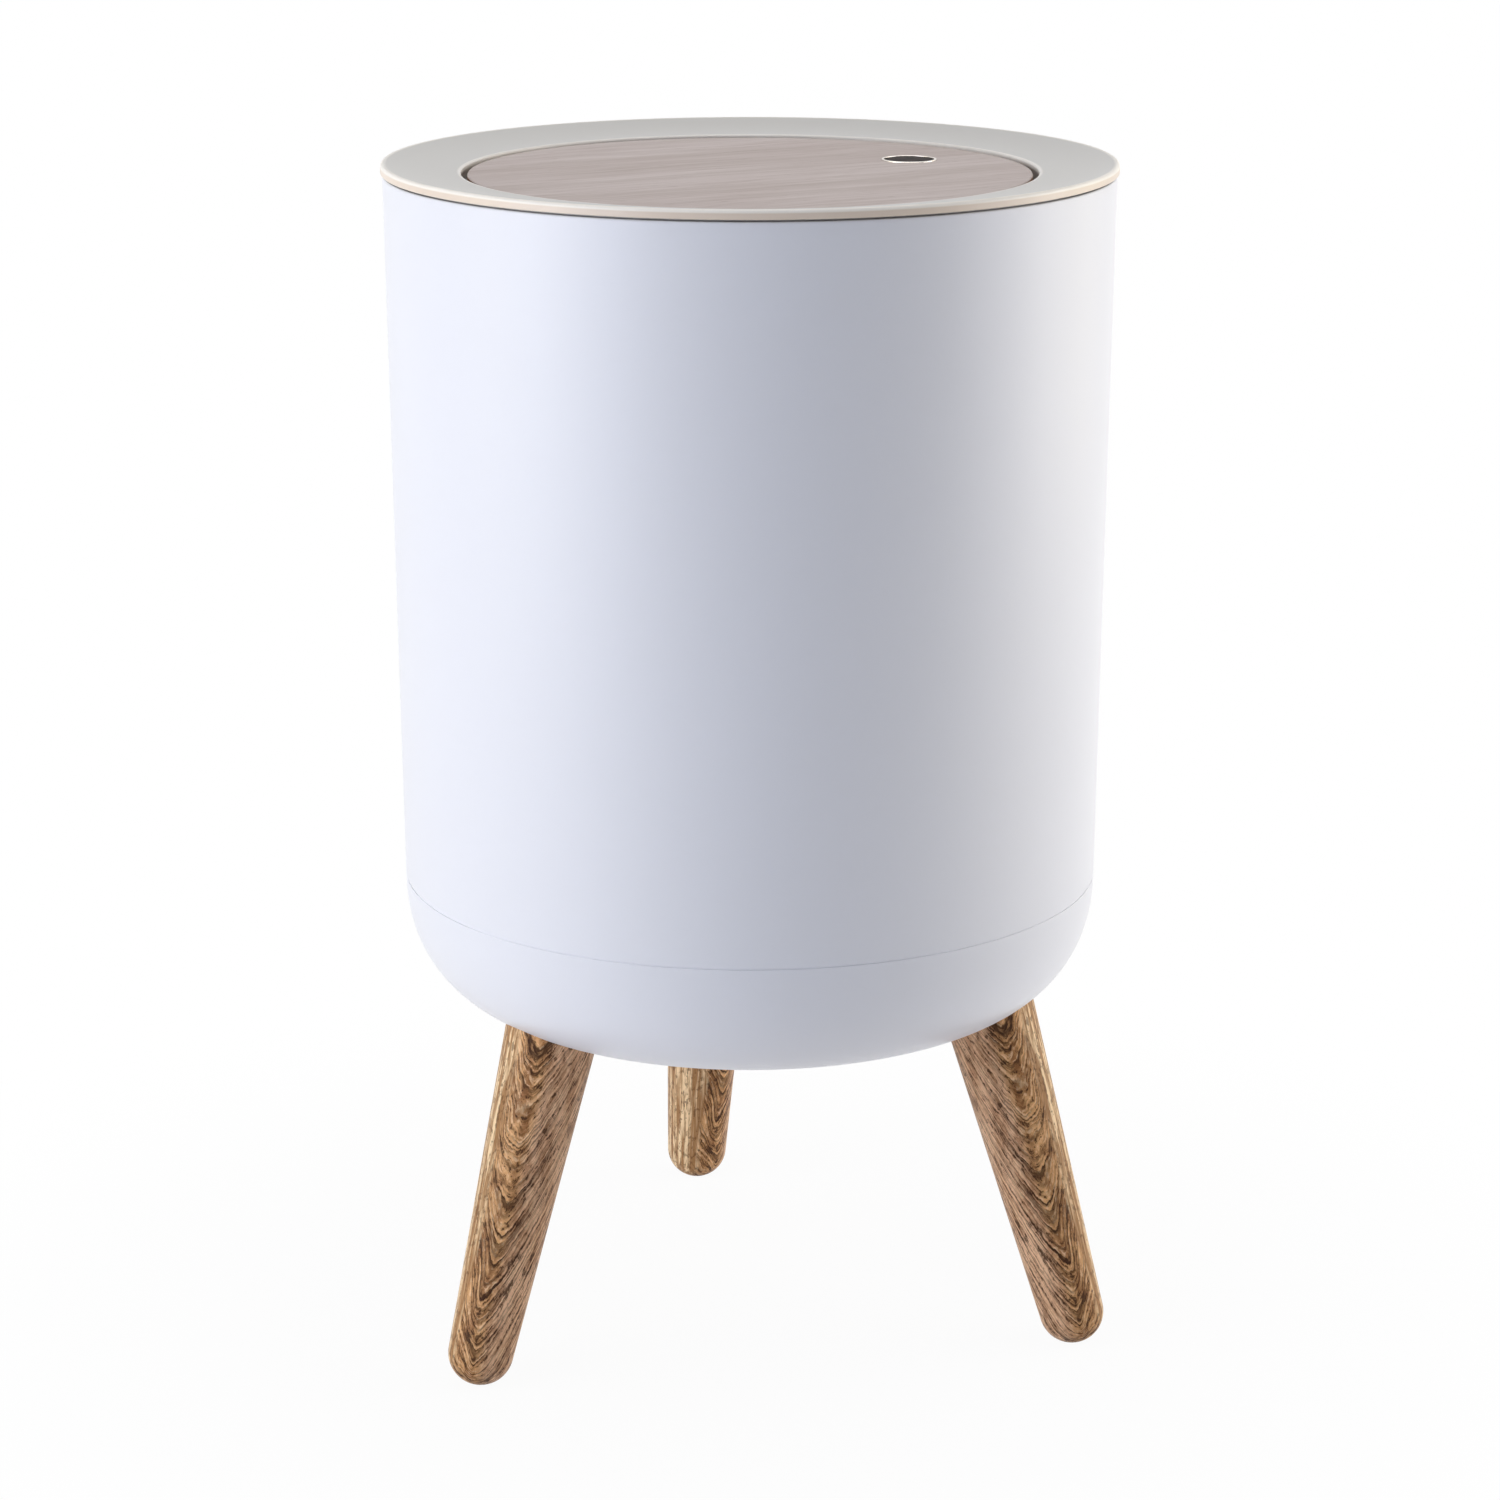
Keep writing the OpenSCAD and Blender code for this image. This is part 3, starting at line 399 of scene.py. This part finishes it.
def ring_plastic():
    """Warm white plastic of the lid ring: painted highlights along its two edges, tan down its side band.
    """
    color = (0.60, 0.585, 0.55)
    s = Shade("ring_cream", {"Specular IOR Level": 0.4})
    radius = s.radius(AXIS_Y)
    clouds = s.noise(s.place, 6.0, 2.0, 0.4)
    face = s.mix(s.span(clouds, 0.2, 0.8), tint(color, 0.98), tint(color, 1.02))
    # Painted highlights: paler cream along the outer rounded edge, and along the hole's lip
    rim = s.mix(s.span(radius, LID_R - 2.4 * MM, LID_R - 0.9 * MM), face, (0.97, 0.92, 0.83))
    lip = s.mix(s.span(radius, HOLE_R + 1.6 * MM, HOLE_R + 0.6 * MM), rim, (0.90, 0.86, 0.80))
    beside = s.calc("GREATER_THAN", radius, LID_R - 2 * MM)
    band = s.calc("MULTIPLY", s.span(s.height(), TOTAL_H - 0.8 * MM, TOTAL_H - 1.5 * MM), beside)
    s.color(s.mix(band, lip, (0.80, 0.68, 0.56)))
    s.roughness(0.30)
    s.bump((s.noise(s.place, 1.0 / (0.5 * MM), 2.0, 0.6), 0.04, 0.02 * MM))
    return s.material


def metal(name, color, roughness):
    """Turned or drawn metal with fine upright streaks."""
    s = Shade(name, {"Metallic": 1.0})
    streaks = s.noise(s.stretch((1400.0, 1400.0, 60.0)), 1.0, 3.0, 0.6)
    smudges = s.noise(s.place, 120.0, 3.0, 0.6)
    s.color(s.mix(s.span(smudges, 0.35, 0.7), color, tint(color, 0.86)))
    s.roughness(s.span(streaks, 0.25, 0.75, roughness - 0.06, roughness + 0.1))
    s.bump((streaks, 0.15, 0.02 * MM))
    return s.material


def leg_wood():
    """Walnut-look print: nested V arcs on one face of each leg, straight pale stripes on one side.

    The grain attribute of the mesh holds metres across the arcs, towards their face, and up the leg.
    """
    s = Shade("leg_wood", {"Specular IOR Level": 0.12})
    grain = s.node("ShaderNodeAttribute", attribute_name="grain").outputs["Vector"]
    across, depth, up = s.node("ShaderNodeSeparateXYZ", {0: grain}).outputs

    # Height at which a grain line crosses the middle of the face
    sway = s.noise(s.stretch((70.0, 70.0, 26.0), grain), 1.0, 2.0, 0.5)
    ripple = s.noise(s.stretch((300.0, 300.0, 130.0), grain), 1.0, 4.0, 0.68)
    shift = s.calc("MULTIPLY_ADD", s.calc("SUBTRACT", sway, 0.5), 7 * MM, across)
    side = s.calc("SQRT", s.calc("ADD", s.calc("POWER", shift, 2.0), (1.3 * MM) ** 2))
    crest = s.calc("MULTIPLY_ADD", side, -1.8, up)
    crest = s.calc("MULTIPLY_ADD", depth, 2.2, crest)
    crest = s.calc("MULTIPLY_ADD", s.calc("SUBTRACT", sway, 0.5), 18 * MM, crest)
    crest = s.calc("MULTIPLY_ADD", s.calc("SUBTRACT", ripple, 0.5), 5.5 * MM, crest)
    along = s.node("ShaderNodeCombineXYZ", {2: crest}).outputs[0]
    spread = s.noise(s.stretch((1.0, 1.0, 75.0), along), 1.0, 1.0, 0.5)
    turns = s.calc("MULTIPLY_ADD", spread, 7.0, s.calc("DIVIDE", crest, 5.0 * MM))
    turn = s.calc("FRACT", turns)
    ring = {"W": s.calc("FLOOR", turns)}
    weight = s.node("ShaderNodeTexWhiteNoise", ring, noise_dimensions="1D").outputs["Value"]

    # Dark late wood with a soft start and a sharp end, strongest where the arcs turn
    late = s.calc("MULTIPLY", s.span(turn, 0.15, 0.88), s.span(turn, 1.0, 0.90))
    late = s.calc("MULTIPLY", late, s.span(weight, 0.0, 0.7, 0.35, 1.0, soft=False))
    late = s.calc("MULTIPLY", late, s.span(side, 11 * MM, 4 * MM, 0.55, 1.0))
    slow_crest = s.calc("MULTIPLY", crest, 0.5)
    flow = s.node("ShaderNodeCombineXYZ", {0: across, 1: depth, 2: slow_crest}).outputs[0]
    dashes = s.noise(s.stretch((300.0, 300.0, 900.0), flow), 1.0, 2.0, 0.6)
    line = s.calc("MULTIPLY", late, s.span(dashes, 0.36, 0.54, 0.4, 1.0))
    threads = s.noise(s.stretch((210.0, 210.0, 1000.0), flow), 1.0, 3.0, 0.65)
    flecks = s.noise(s.stretch((640.0, 640.0, 340.0), grain), 1.0, 2.0, 0.65)
    pore = s.calc("MULTIPLY", s.span(flecks, 0.51, 0.58), s.span(threads, 0.47, 0.56))
    glint = s.calc("MULTIPLY", s.span(flecks, 0.49, 0.42), s.span(threads, 0.52, 0.44))

    # Pale straight stripes where the across axis is negative, brown in the middle, pinkish beyond it
    wander = s.calc("MULTIPLY_ADD", s.calc("SUBTRACT", sway, 0.5), 4 * MM, across)
    pale_side = s.span(wander, -6.8 * MM, -8.8 * MM)
    stripes = s.noise(s.stretch((480.0, 480.0, 9.0), grain), 1.0, 3.0, 0.6)
    clouds = s.noise(s.stretch((190.0, 190.0, 60.0), grain), 1.0, 3.0, 0.6)
    brown = s.mix(s.span(clouds, 0.34, 0.64), (0.74, 0.41, 0.180), (0.36, 0.165, 0.064))
    pink = s.mix(s.span(clouds, 0.34, 0.64), (0.84, 0.53, 0.33), (0.55, 0.30, 0.165))
    pale = s.mix(s.span(stripes, 0.42, 0.58), (1.0, 0.76, 0.47), (0.40, 0.21, 0.088))
    ground = s.mix(s.span(wander, 1 * MM, 6 * MM), brown, pink)
    ground = s.mix(s.span(threads, 0.50, 0.66, 0.0, 0.75), ground, (0.17, 0.072, 0.024))
    ground = s.mix(s.span(threads, 0.46, 0.34, 0.0, 0.5), ground, (0.92, 0.62, 0.36))
    ground = s.mix(s.calc("MULTIPLY", glint, 0.5), ground, (0.95, 0.66, 0.40))
    stained = s.mix(s.calc("MULTIPLY", line, 0.97), ground, (0.034, 0.011, 0.003))
    stained = s.mix(s.calc("MULTIPLY", pore, 0.8), stained, (0.036, 0.012, 0.004))
    straight = s.noise(s.stretch((760.0, 760.0, 95.0), grain), 1.0, 3.0, 0.65)
    pale = s.mix(s.span(straight, 0.47, 0.62, 0.0, 0.8), pale, (0.33, 0.17, 0.070))
    pale = s.mix(s.calc("MULTIPLY", s.span(flecks, 0.54, 0.62), 0.6), pale, (0.12, 0.05, 0.018))
    s.color(s.mix(s.calc("MULTIPLY", pale_side, 0.9), stained, pale))
    s.roughness(s.span(line, 0.0, 1.0, 0.42, 0.58))
    s.bump((s.calc("ADD", line, s.calc("MULTIPLY", pore, 0.8)), 0.2, -0.1 * MM))
    return s.material


def panel_film():
    """Pale wood-grain film: fine streaks from the hinge to the press side, and a brown cut edge."""
    s = Shade("panel_wood", {"Specular IOR Level": 0.35})
    drift = s.noise(s.place, 14.0, 2.0)
    shifted = s.node("ShaderNodeVectorMath", {0: s.place}, operation="ADD")
    bend = s.node("ShaderNodeCombineXYZ", {0: s.calc("MULTIPLY", s.calc("SUBTRACT", drift, 0.5), 9 * MM)})
    s.feed(shifted.inputs[1], bend.outputs[0])
    along = shifted.outputs[0]
    bands = s.noise(s.stretch((65.0, 7.0, 1.0), along), 1.0, 3.0, 0.55)
    streaks = s.noise(s.stretch((700.0, 26.0, 1.0), along), 1.0, 3.0, 0.6)
    flecks = s.noise(s.stretch((1500.0, 120.0, 1.0), along), 1.0, 1.0, 0.5)
    pale, deep = (0.585, 0.500, 0.470), (0.470, 0.385, 0.350)
    ground = s.mix(s.span(bands, 0.3, 0.72), pale, deep)
    lined = s.mix(s.span(streaks, 0.46, 0.72, 0.0, 0.32), ground, (0.36, 0.28, 0.24))
    glint = s.mix(s.span(streaks, 0.44, 0.28, 0.0, 0.25), lined, (0.66, 0.57, 0.53))
    face = s.mix(s.span(flecks, 0.66, 0.74, 0.0, 0.4), glint, (0.25, 0.17, 0.13))
    edge = s.span(s.height(), FACE_Z - 0.25 * MM, FACE_Z - 0.55 * MM)
    s.color(s.mix(edge, face, (0.34, 0.17, 0.08)))
    s.roughness(s.span(streaks, 0.3, 0.7, 0.42, 0.54))
    s.bump((streaks, 0.1, 0.05 * MM), (flecks, 0.12, 0.03 * MM))
    return s.material


def badge_glass():
    """Deep brown glossy disc with faint turned rings under its clear coat."""
    s = Shade("badge_dark", {"Specular IOR Level": 0.0, "Coat Weight": 0.12, "Coat Roughness": 0.08})
    turned = s.calc("SINE", s.calc("MULTIPLY", s.radius(BADGE_Y), 2 * math.pi / (0.35 * MM)))
    haze = s.noise(s.place, 300.0, 3.0)
    s.color(s.mix(s.span(haze, 0.3, 0.7), (0.020, 0.012, 0.010), (0.045, 0.030, 0.026)))
    s.roughness(s.span(haze, 0.3, 0.7, 0.10, 0.18))
    s.bump((turned, 0.12, 0.01 * MM))
    return s.material


MATERIALS = {
    "shell_white": moulded_plastic(
        "shell_white", (0.82, 0.83, 0.875), 0.34, 0.5, 0.02,
        specular=0.35, cloud=0.004, gaps_above=RIM_Z - 2 * MM,
    ),
    "ring_cream": ring_plastic(),
    "inner_white": moulded_plastic("inner_white", (0.70, 0.69, 0.66), 0.45, 0.4, 0.18),
    "bucket_grey": moulded_plastic("bucket_grey", (0.40, 0.41, 0.42), 0.48, 0.5, 0.2),
    "mechanism_dark": moulded_plastic("mechanism_dark", (0.025, 0.025, 0.028), 0.4, 0.3, 0.2),
    "panel_wood": panel_film(),
    "leg_wood": leg_wood(),
    "badge_dark": badge_glass(),
    "badge_metal": metal("badge_metal", (0.74, 0.69, 0.63), 0.20),
    "steel": metal("steel", (0.60, 0.60, 0.61), 0.30),
    "brass": metal("brass", (0.72, 0.53, 0.25), 0.30),
}


# ---------------------------------------------------------------- pieces


def shell_outline():
    top_in, foot_in = SHELL_R - BARREL_WALL, SEAM_R - BARREL_WALL
    floor_top = FLOOR_Z + BARREL_FLOOR
    return fillet(
        [
            (0, FLOOR_Z),
            (foot_in, FLOOR_Z, SKIRT_ROUND_INSIDE),
            (foot_in, SHELL_LOW.z),
            (SEAM_R, SHELL_LOW.z, SEAM_ROUND),
            (SHELL_R, RIM_Z, RIM_ROUND),
            (top_in, RIM_Z, RIM_ROUND_INSIDE),
            (foot_in, floor_top, FLOOR_ROUND),
            (0, floor_top),
        ]
    )


def cup_corner(width, height, start, steps=72):
    """Points of the rounded corner from the side wall, start degrees in, to the flat underside."""
    inner_r = SEAM_R - CUP_CORNER_W
    angles = (math.radians(start + (90 - start) * i / steps) for i in range(steps + 1))
    power = CUP_CORNER_POWER
    return [
        (inner_r + width * max(0.0, math.cos(t)) ** power, SEAM_Z - height * math.sin(t) ** power)
        for t in angles
    ]


def cup_outline():
    deep = SEAM_Z - CUP_LOW.z
    seam = SEAM_Z - SEAM_GAP / 2
    shoulder = SHELL_LOW.z - SHOULDER_GAP
    spigot_in = SPIGOT_R - SPIGOT_WALL
    corner = cup_corner(CUP_CORNER_W, deep, CUP_CORNER_START)
    outside = fillet([
        (SPIGOT_R, CUP_HIGH.z, SPIGOT_ROUND), (SPIGOT_R, shoulder), (SEAM_R - GROOVE_DEEP, shoulder),
        (SEAM_R - GROOVE_DEEP, seam), (SEAM_R, seam, SEAM_ROUND), corner[0],
    ])[:-1]
    inside = cup_corner(CUP_CORNER_W - CUP_WALL, deep - CUP_WALL, CUP_CORNER_START_INSIDE)
    return (
        outside
        + [Vector(p) for p in corner]
        + [Vector((0, CUP_LOW.z)), Vector((0, CUP_LOW.z + CUP_WALL))]
        + [Vector(p) for p in reversed(inside)]
        + [Vector((spigot_in, SEAM_Z - SPIGOT_DEEP)), Vector((spigot_in, CUP_HIGH.z))]
    )


def make_body():
    new_piece(
        "barrel", lambda bm: revolve(bm, shell_outline(), ON_AXIS), "stand", "shell_white",
        MATERIALS["shell_white"], "outer_shell",
    )
    cup = new_piece(
        "cup", lambda bm: revolve(bm, cup_outline(), ON_AXIS), "stand", "shell_white",
        MATERIALS["shell_white"], "base_cup",
    )

    def leg_holes(bm):
        for foot in FEET.values():
            rod(bm, SOCKET_R, LEG_LEN - SOCKET_CUT, LEG_LEN + LEG_SEAT, leg_place(foot))

    cut(cup, leg_holes)


def leg_outline():
    steps = 16
    foot = [(FOOT_R * math.sin(t), -FOOT_R * math.cos(t)) for t in
            (math.pi / 2 * i / steps for i in range(steps + 1))]
    shaft = 24
    taper = [(FOOT_R + (LEG_TOP_R - FOOT_R) * i / shaft, (LEG_LEN - LEG_STRAIGHT) * i / shaft)
             for i in range(1, shaft + 1)]
    shoulder = LEG_LEN - LEG_STRAIGHT
    top = fillet([(LEG_TOP_R, shoulder), (LEG_TOP_R, LEG_LEN, LEG_TOP_ROUND), (0, LEG_LEN)])[1:]
    return [Vector(p) for p in foot + taper] + top


def make_leg(name, foot, arc_azimuth, mirror):
    """A turned leg; its grain arcs face the given azimuth, with the pale side left (1) or right (-1)."""
    place = leg_place(foot)

    def build(bm):
        revolve(bm, leg_outline(), place, LEG_STEPS)
        bmesh.ops.bisect_plane(bm, geom=bm.verts[:] + bm.edges[:] + bm.faces[:], dist=1e-6,
                               plane_co=(0, 0, 0), plane_no=(0, 0, -1), clear_outer=True)
        rim = [e for e in bm.edges if e.is_boundary]
        bmesh.ops.contextual_create(bm, geom=rim)

    piece = new_piece(name + "_turned", build, "stand", "leg_wood", MATERIALS["leg_wood"], name)
    up = (place.to_3x3() @ Vector((0, 0, 1))).normalized()
    a = math.radians(arc_azimuth)
    face = Vector((math.sin(a), -math.cos(a), 0))
    face = (face - face.dot(up) * up).normalized()
    across = up.cross(face)
    grain = piece.data.attributes.new("grain", "FLOAT_VECTOR", "POINT")
    origin = place.translation
    for vertex, value in zip(piece.data.vertices, grain.data):
        arm = vertex.co - origin
        value.vector = (mirror * arm.dot(across), arm.dot(face), arm.dot(up))


def dish_z(r):
    share = max(0.0, (r - HOLE_R) / (LID_R - BAND_ROUND - HOLE_R))
    return LIP_Z + LID_DISH * share**DISH_POWER


def ring_outline():
    steps = 48
    top_r = LID_R - BAND_ROUND
    under_r = HOLE_R + COLLAR_WALL
    inner_r = LID_R - BAND_WALL
    arc = [math.radians(80 * i / 8) for i in range(9)]
    lip = [math.radians(100 + 80 * i / 6) for i in range(7)]
    dish = [top_r + (HOLE_R + LIP_ROUND - top_r) * i / steps for i in range(1, steps)]
    under = [under_r + (inner_r - under_r) * i / 12 for i in range(13)]
    return (
        [(inner_r, BAND_Z), (LID_R - BAND_CHAMFER, BAND_Z), (LID_R, BAND_Z + BAND_CHAMFER)]
        + [(top_r + BAND_ROUND * math.cos(t), TOTAL_H - BAND_ROUND * (1 - math.sin(t))) for t in arc]
        + [(r, dish_z(r)) for r in dish]
        + [(HOLE_R + LIP_ROUND * (1 + math.cos(t)), LIP_Z - LIP_ROUND * (1 - math.sin(t))) for t in lip]
        + [(HOLE_R, COLLAR_Z), (under_r, COLLAR_Z)]
        + [(r, dish_z(min(r, top_r)) - LID_SKIN) for r in under]
    )


def make_lid():
    ring = new_piece(
        "ring", lambda bm: revolve(bm, ring_outline(), ON_AXIS), "lid", "ring_cream",
        MATERIALS["ring_cream"], "lid_ring",
    )

    def hinge_bay(bm):
        low = Vector((-BAY_X, AXIS_Y, COLLAR_Z - MM))
        high = Vector((BAY_X, AXIS_Y + HOLE_R + COLLAR_WALL + MM, LIP_Z - LID_SKIN - BAY_ROOF_GAP))
        place = Matrix.Translation((low + high) / 2) @ Matrix.Diagonal((*(high - low), 1))
        bmesh.ops.create_cube(bm, size=1, matrix=place)

    cut(ring, hinge_bay)


def make_panel():
    low_z = FACE_Z - FACE_T
    outline = fillet([
        (0, low_z), (PANEL_R - FACE_EDGE_CHAMFER, low_z), (PANEL_R, low_z + FACE_EDGE_CHAMFER),
        (PANEL_R, FACE_Z, FACE_ROUND), (0, FACE_Z),
    ], steps=8)
    disc = new_piece(
        "panel_face", lambda bm: revolve(bm, outline, ON_AXIS), "panel", "panel_wood",
        MATERIALS["panel_wood"], "panel_top",
    )
    badge_place = Matrix.Translation((0, BADGE_Y, 0))
    cut(disc, lambda bm: rod(bm, BADGE_R + BADGE_PLAY, BADGE_LOW.z, BADGE_HIGH.z + MM, badge_place))

    inner = BADGE_R - BADGE_RIM_W
    rim = fillet([
        (inner, BADGE_LOW.z), (BADGE_R, BADGE_LOW.z), (BADGE_R, BADGE_HIGH.z, BADGE_ROUND_OUTSIDE),
        (inner, BADGE_HIGH.z, BADGE_ROUND_INSIDE),
    ], steps=5, support=0.02 * MM)
    new_piece("badge_ring", lambda bm: revolve(bm, rim, badge_place, BADGE_STEPS), "panel", "badge_metal",
              MATERIALS["badge_metal"], "badge_rim")
    top = BADGE_HIGH.z - BADGE_SUNK
    dome = [(inner * math.cos(t), top - BADGE_CROWN + BADGE_CROWN * math.sin(t)) for t in
            (math.pi / 2 * i / 10 for i in range(11))]
    disc_outline = [(0, BADGE_LOW.z), (inner, BADGE_LOW.z)] + dome[:-1] + [(0, top)]
    new_piece(
        "badge_face", lambda bm: revolve(bm, disc_outline, badge_place, BADGE_STEPS), "panel", "badge_dark",
        MATERIALS["badge_dark"], "badge_disc",
    )


def dress_cad_nodes():
    """Gives every CAD node that shows the material of its slot."""
    for entry in RECORD["subparts"]:
        node = frame["nodes"][entry["node"]]
        for holder in node.material_slots:
            holder.material = MATERIALS[entry["material_slot"]]


# ---------------------------------------------------------------- stage


def seen_directly(tree):
    """1 where a camera, glossy or transmission ray meets the surface, else 0."""
    path = tree.nodes.new("ShaderNodeLightPath")
    answer = path.outputs["Is Camera Ray"]
    for ray in ("Is Glossy Ray", "Is Transmission Ray"):
        either = tree.nodes.new("ShaderNodeMath")
        either.operation = "MAXIMUM"
        tree.links.new(answer, either.inputs[0])
        tree.links.new(path.outputs[ray], either.inputs[1])
        answer = either.outputs[0]
    return answer


def blend_shaders(tree, factor, first, second):
    blend = tree.nodes.new("ShaderNodeMixShader")
    tree.links.new(factor, blend.inputs[0])
    tree.links.new(first, blend.inputs[1])
    tree.links.new(second, blend.inputs[2])
    return blend.outputs[0]


def make_floor():
    """White floor that shows a faint shadow near the bin and fades into the white world."""
    mesh = bpy.data.meshes.new("floor")
    bm = bmesh.new()
    bmesh.ops.create_grid(bm, x_segments=4, y_segments=4, size=FLOOR_SIZE)
    bm.to_mesh(mesh)
    bm.free()
    floor = bpy.data.objects.new("floor", mesh)
    bpy.context.scene.collection.objects.link(floor)
    s = Shade("floor", {})
    paint = s.node("ShaderNodeBsdfDiffuse", {"Color": (*FLOOR_PAINT, 1)}).outputs[0]
    glow = s.node("ShaderNodeEmission", {"Color": (1, 1, 1, 1)}).outputs[0]
    away = s.node("ShaderNodeVectorMath", {0: s.place}, operation="LENGTH").outputs["Value"]
    whiteness = s.span(away, SHADOW_NEAR, SHADOW_FAR, SHADOW_WHITENESS, 1.0)
    shown = blend_shaders(s.tree, whiteness, paint, glow)
    look = blend_shaders(s.tree, seen_directly(s.tree), paint, shown)
    s.feed(s.tree.nodes["Material Output"].inputs["Surface"], look)
    mesh.materials.append(s.material)


def make_world():
    """White where it is seen directly or in a reflection; only the lamps light the bin."""
    world = bpy.data.worlds.new("studio")
    bpy.context.scene.world = world
    world.use_nodes = True
    tree = world.node_tree
    tree.nodes.clear()
    dark = tree.nodes.new("ShaderNodeBackground")
    dark.inputs["Strength"].default_value = 0.0
    white = tree.nodes.new("ShaderNodeBackground")
    white.inputs["Color"].default_value = (1, 1, 1, 1)
    look = blend_shaders(tree, seen_directly(tree), dark.outputs[0], white.outputs[0])
    output = tree.nodes.new("ShaderNodeOutputWorld")
    tree.links.new(look, output.inputs["Surface"])


def softbox(name, turn, elevation, distance, width, height, power, color):
    """A rectangular lamp, turned about the bin against the camera's azimuth."""
    lamp = bpy.data.lights.new(name, "AREA")
    lamp.shape = "RECTANGLE"
    lamp.size, lamp.size_y = width, height
    lamp.energy = power
    lamp.color = color
    holder = bpy.data.objects.new(name, lamp)
    holder.location = from_side(CAMERA_AZIMUTH + turn, elevation, distance)
    holder.rotation_euler = (CENTRE - holder.location).to_track_quat("-Z", "Y").to_euler()
    bpy.context.scene.collection.objects.link(holder)


def make_camera():
    camera = bpy.data.cameras.new("camera")
    camera.lens = CAMERA_LENS
    camera.sensor_width = SENSOR
    holder = bpy.data.objects.new("camera", camera)
    holder.location = from_side(CAMERA_AZIMUTH, CAMERA_ELEVATION, CAMERA_DISTANCE)
    holder.rotation_euler = (CENTRE - holder.location).to_track_quat("-Z", "Y").to_euler()
    bpy.context.scene.collection.objects.link(holder)
    bpy.context.scene.camera = holder


# ---------------------------------------------------------------- scene

bpy.context.scene.view_settings.view_transform = "Standard"
make_camera()
dress_cad_nodes()
make_body()
for leg_name, (arc_turn, mirror) in LEG_GRAIN.items():
    make_leg(leg_name, FEET[leg_name], CAMERA_AZIMUTH + arc_turn, mirror)
make_lid()
make_panel()
make_floor()
make_world()
for box, settings in LIGHTS.items():
    softbox(box, *settings)
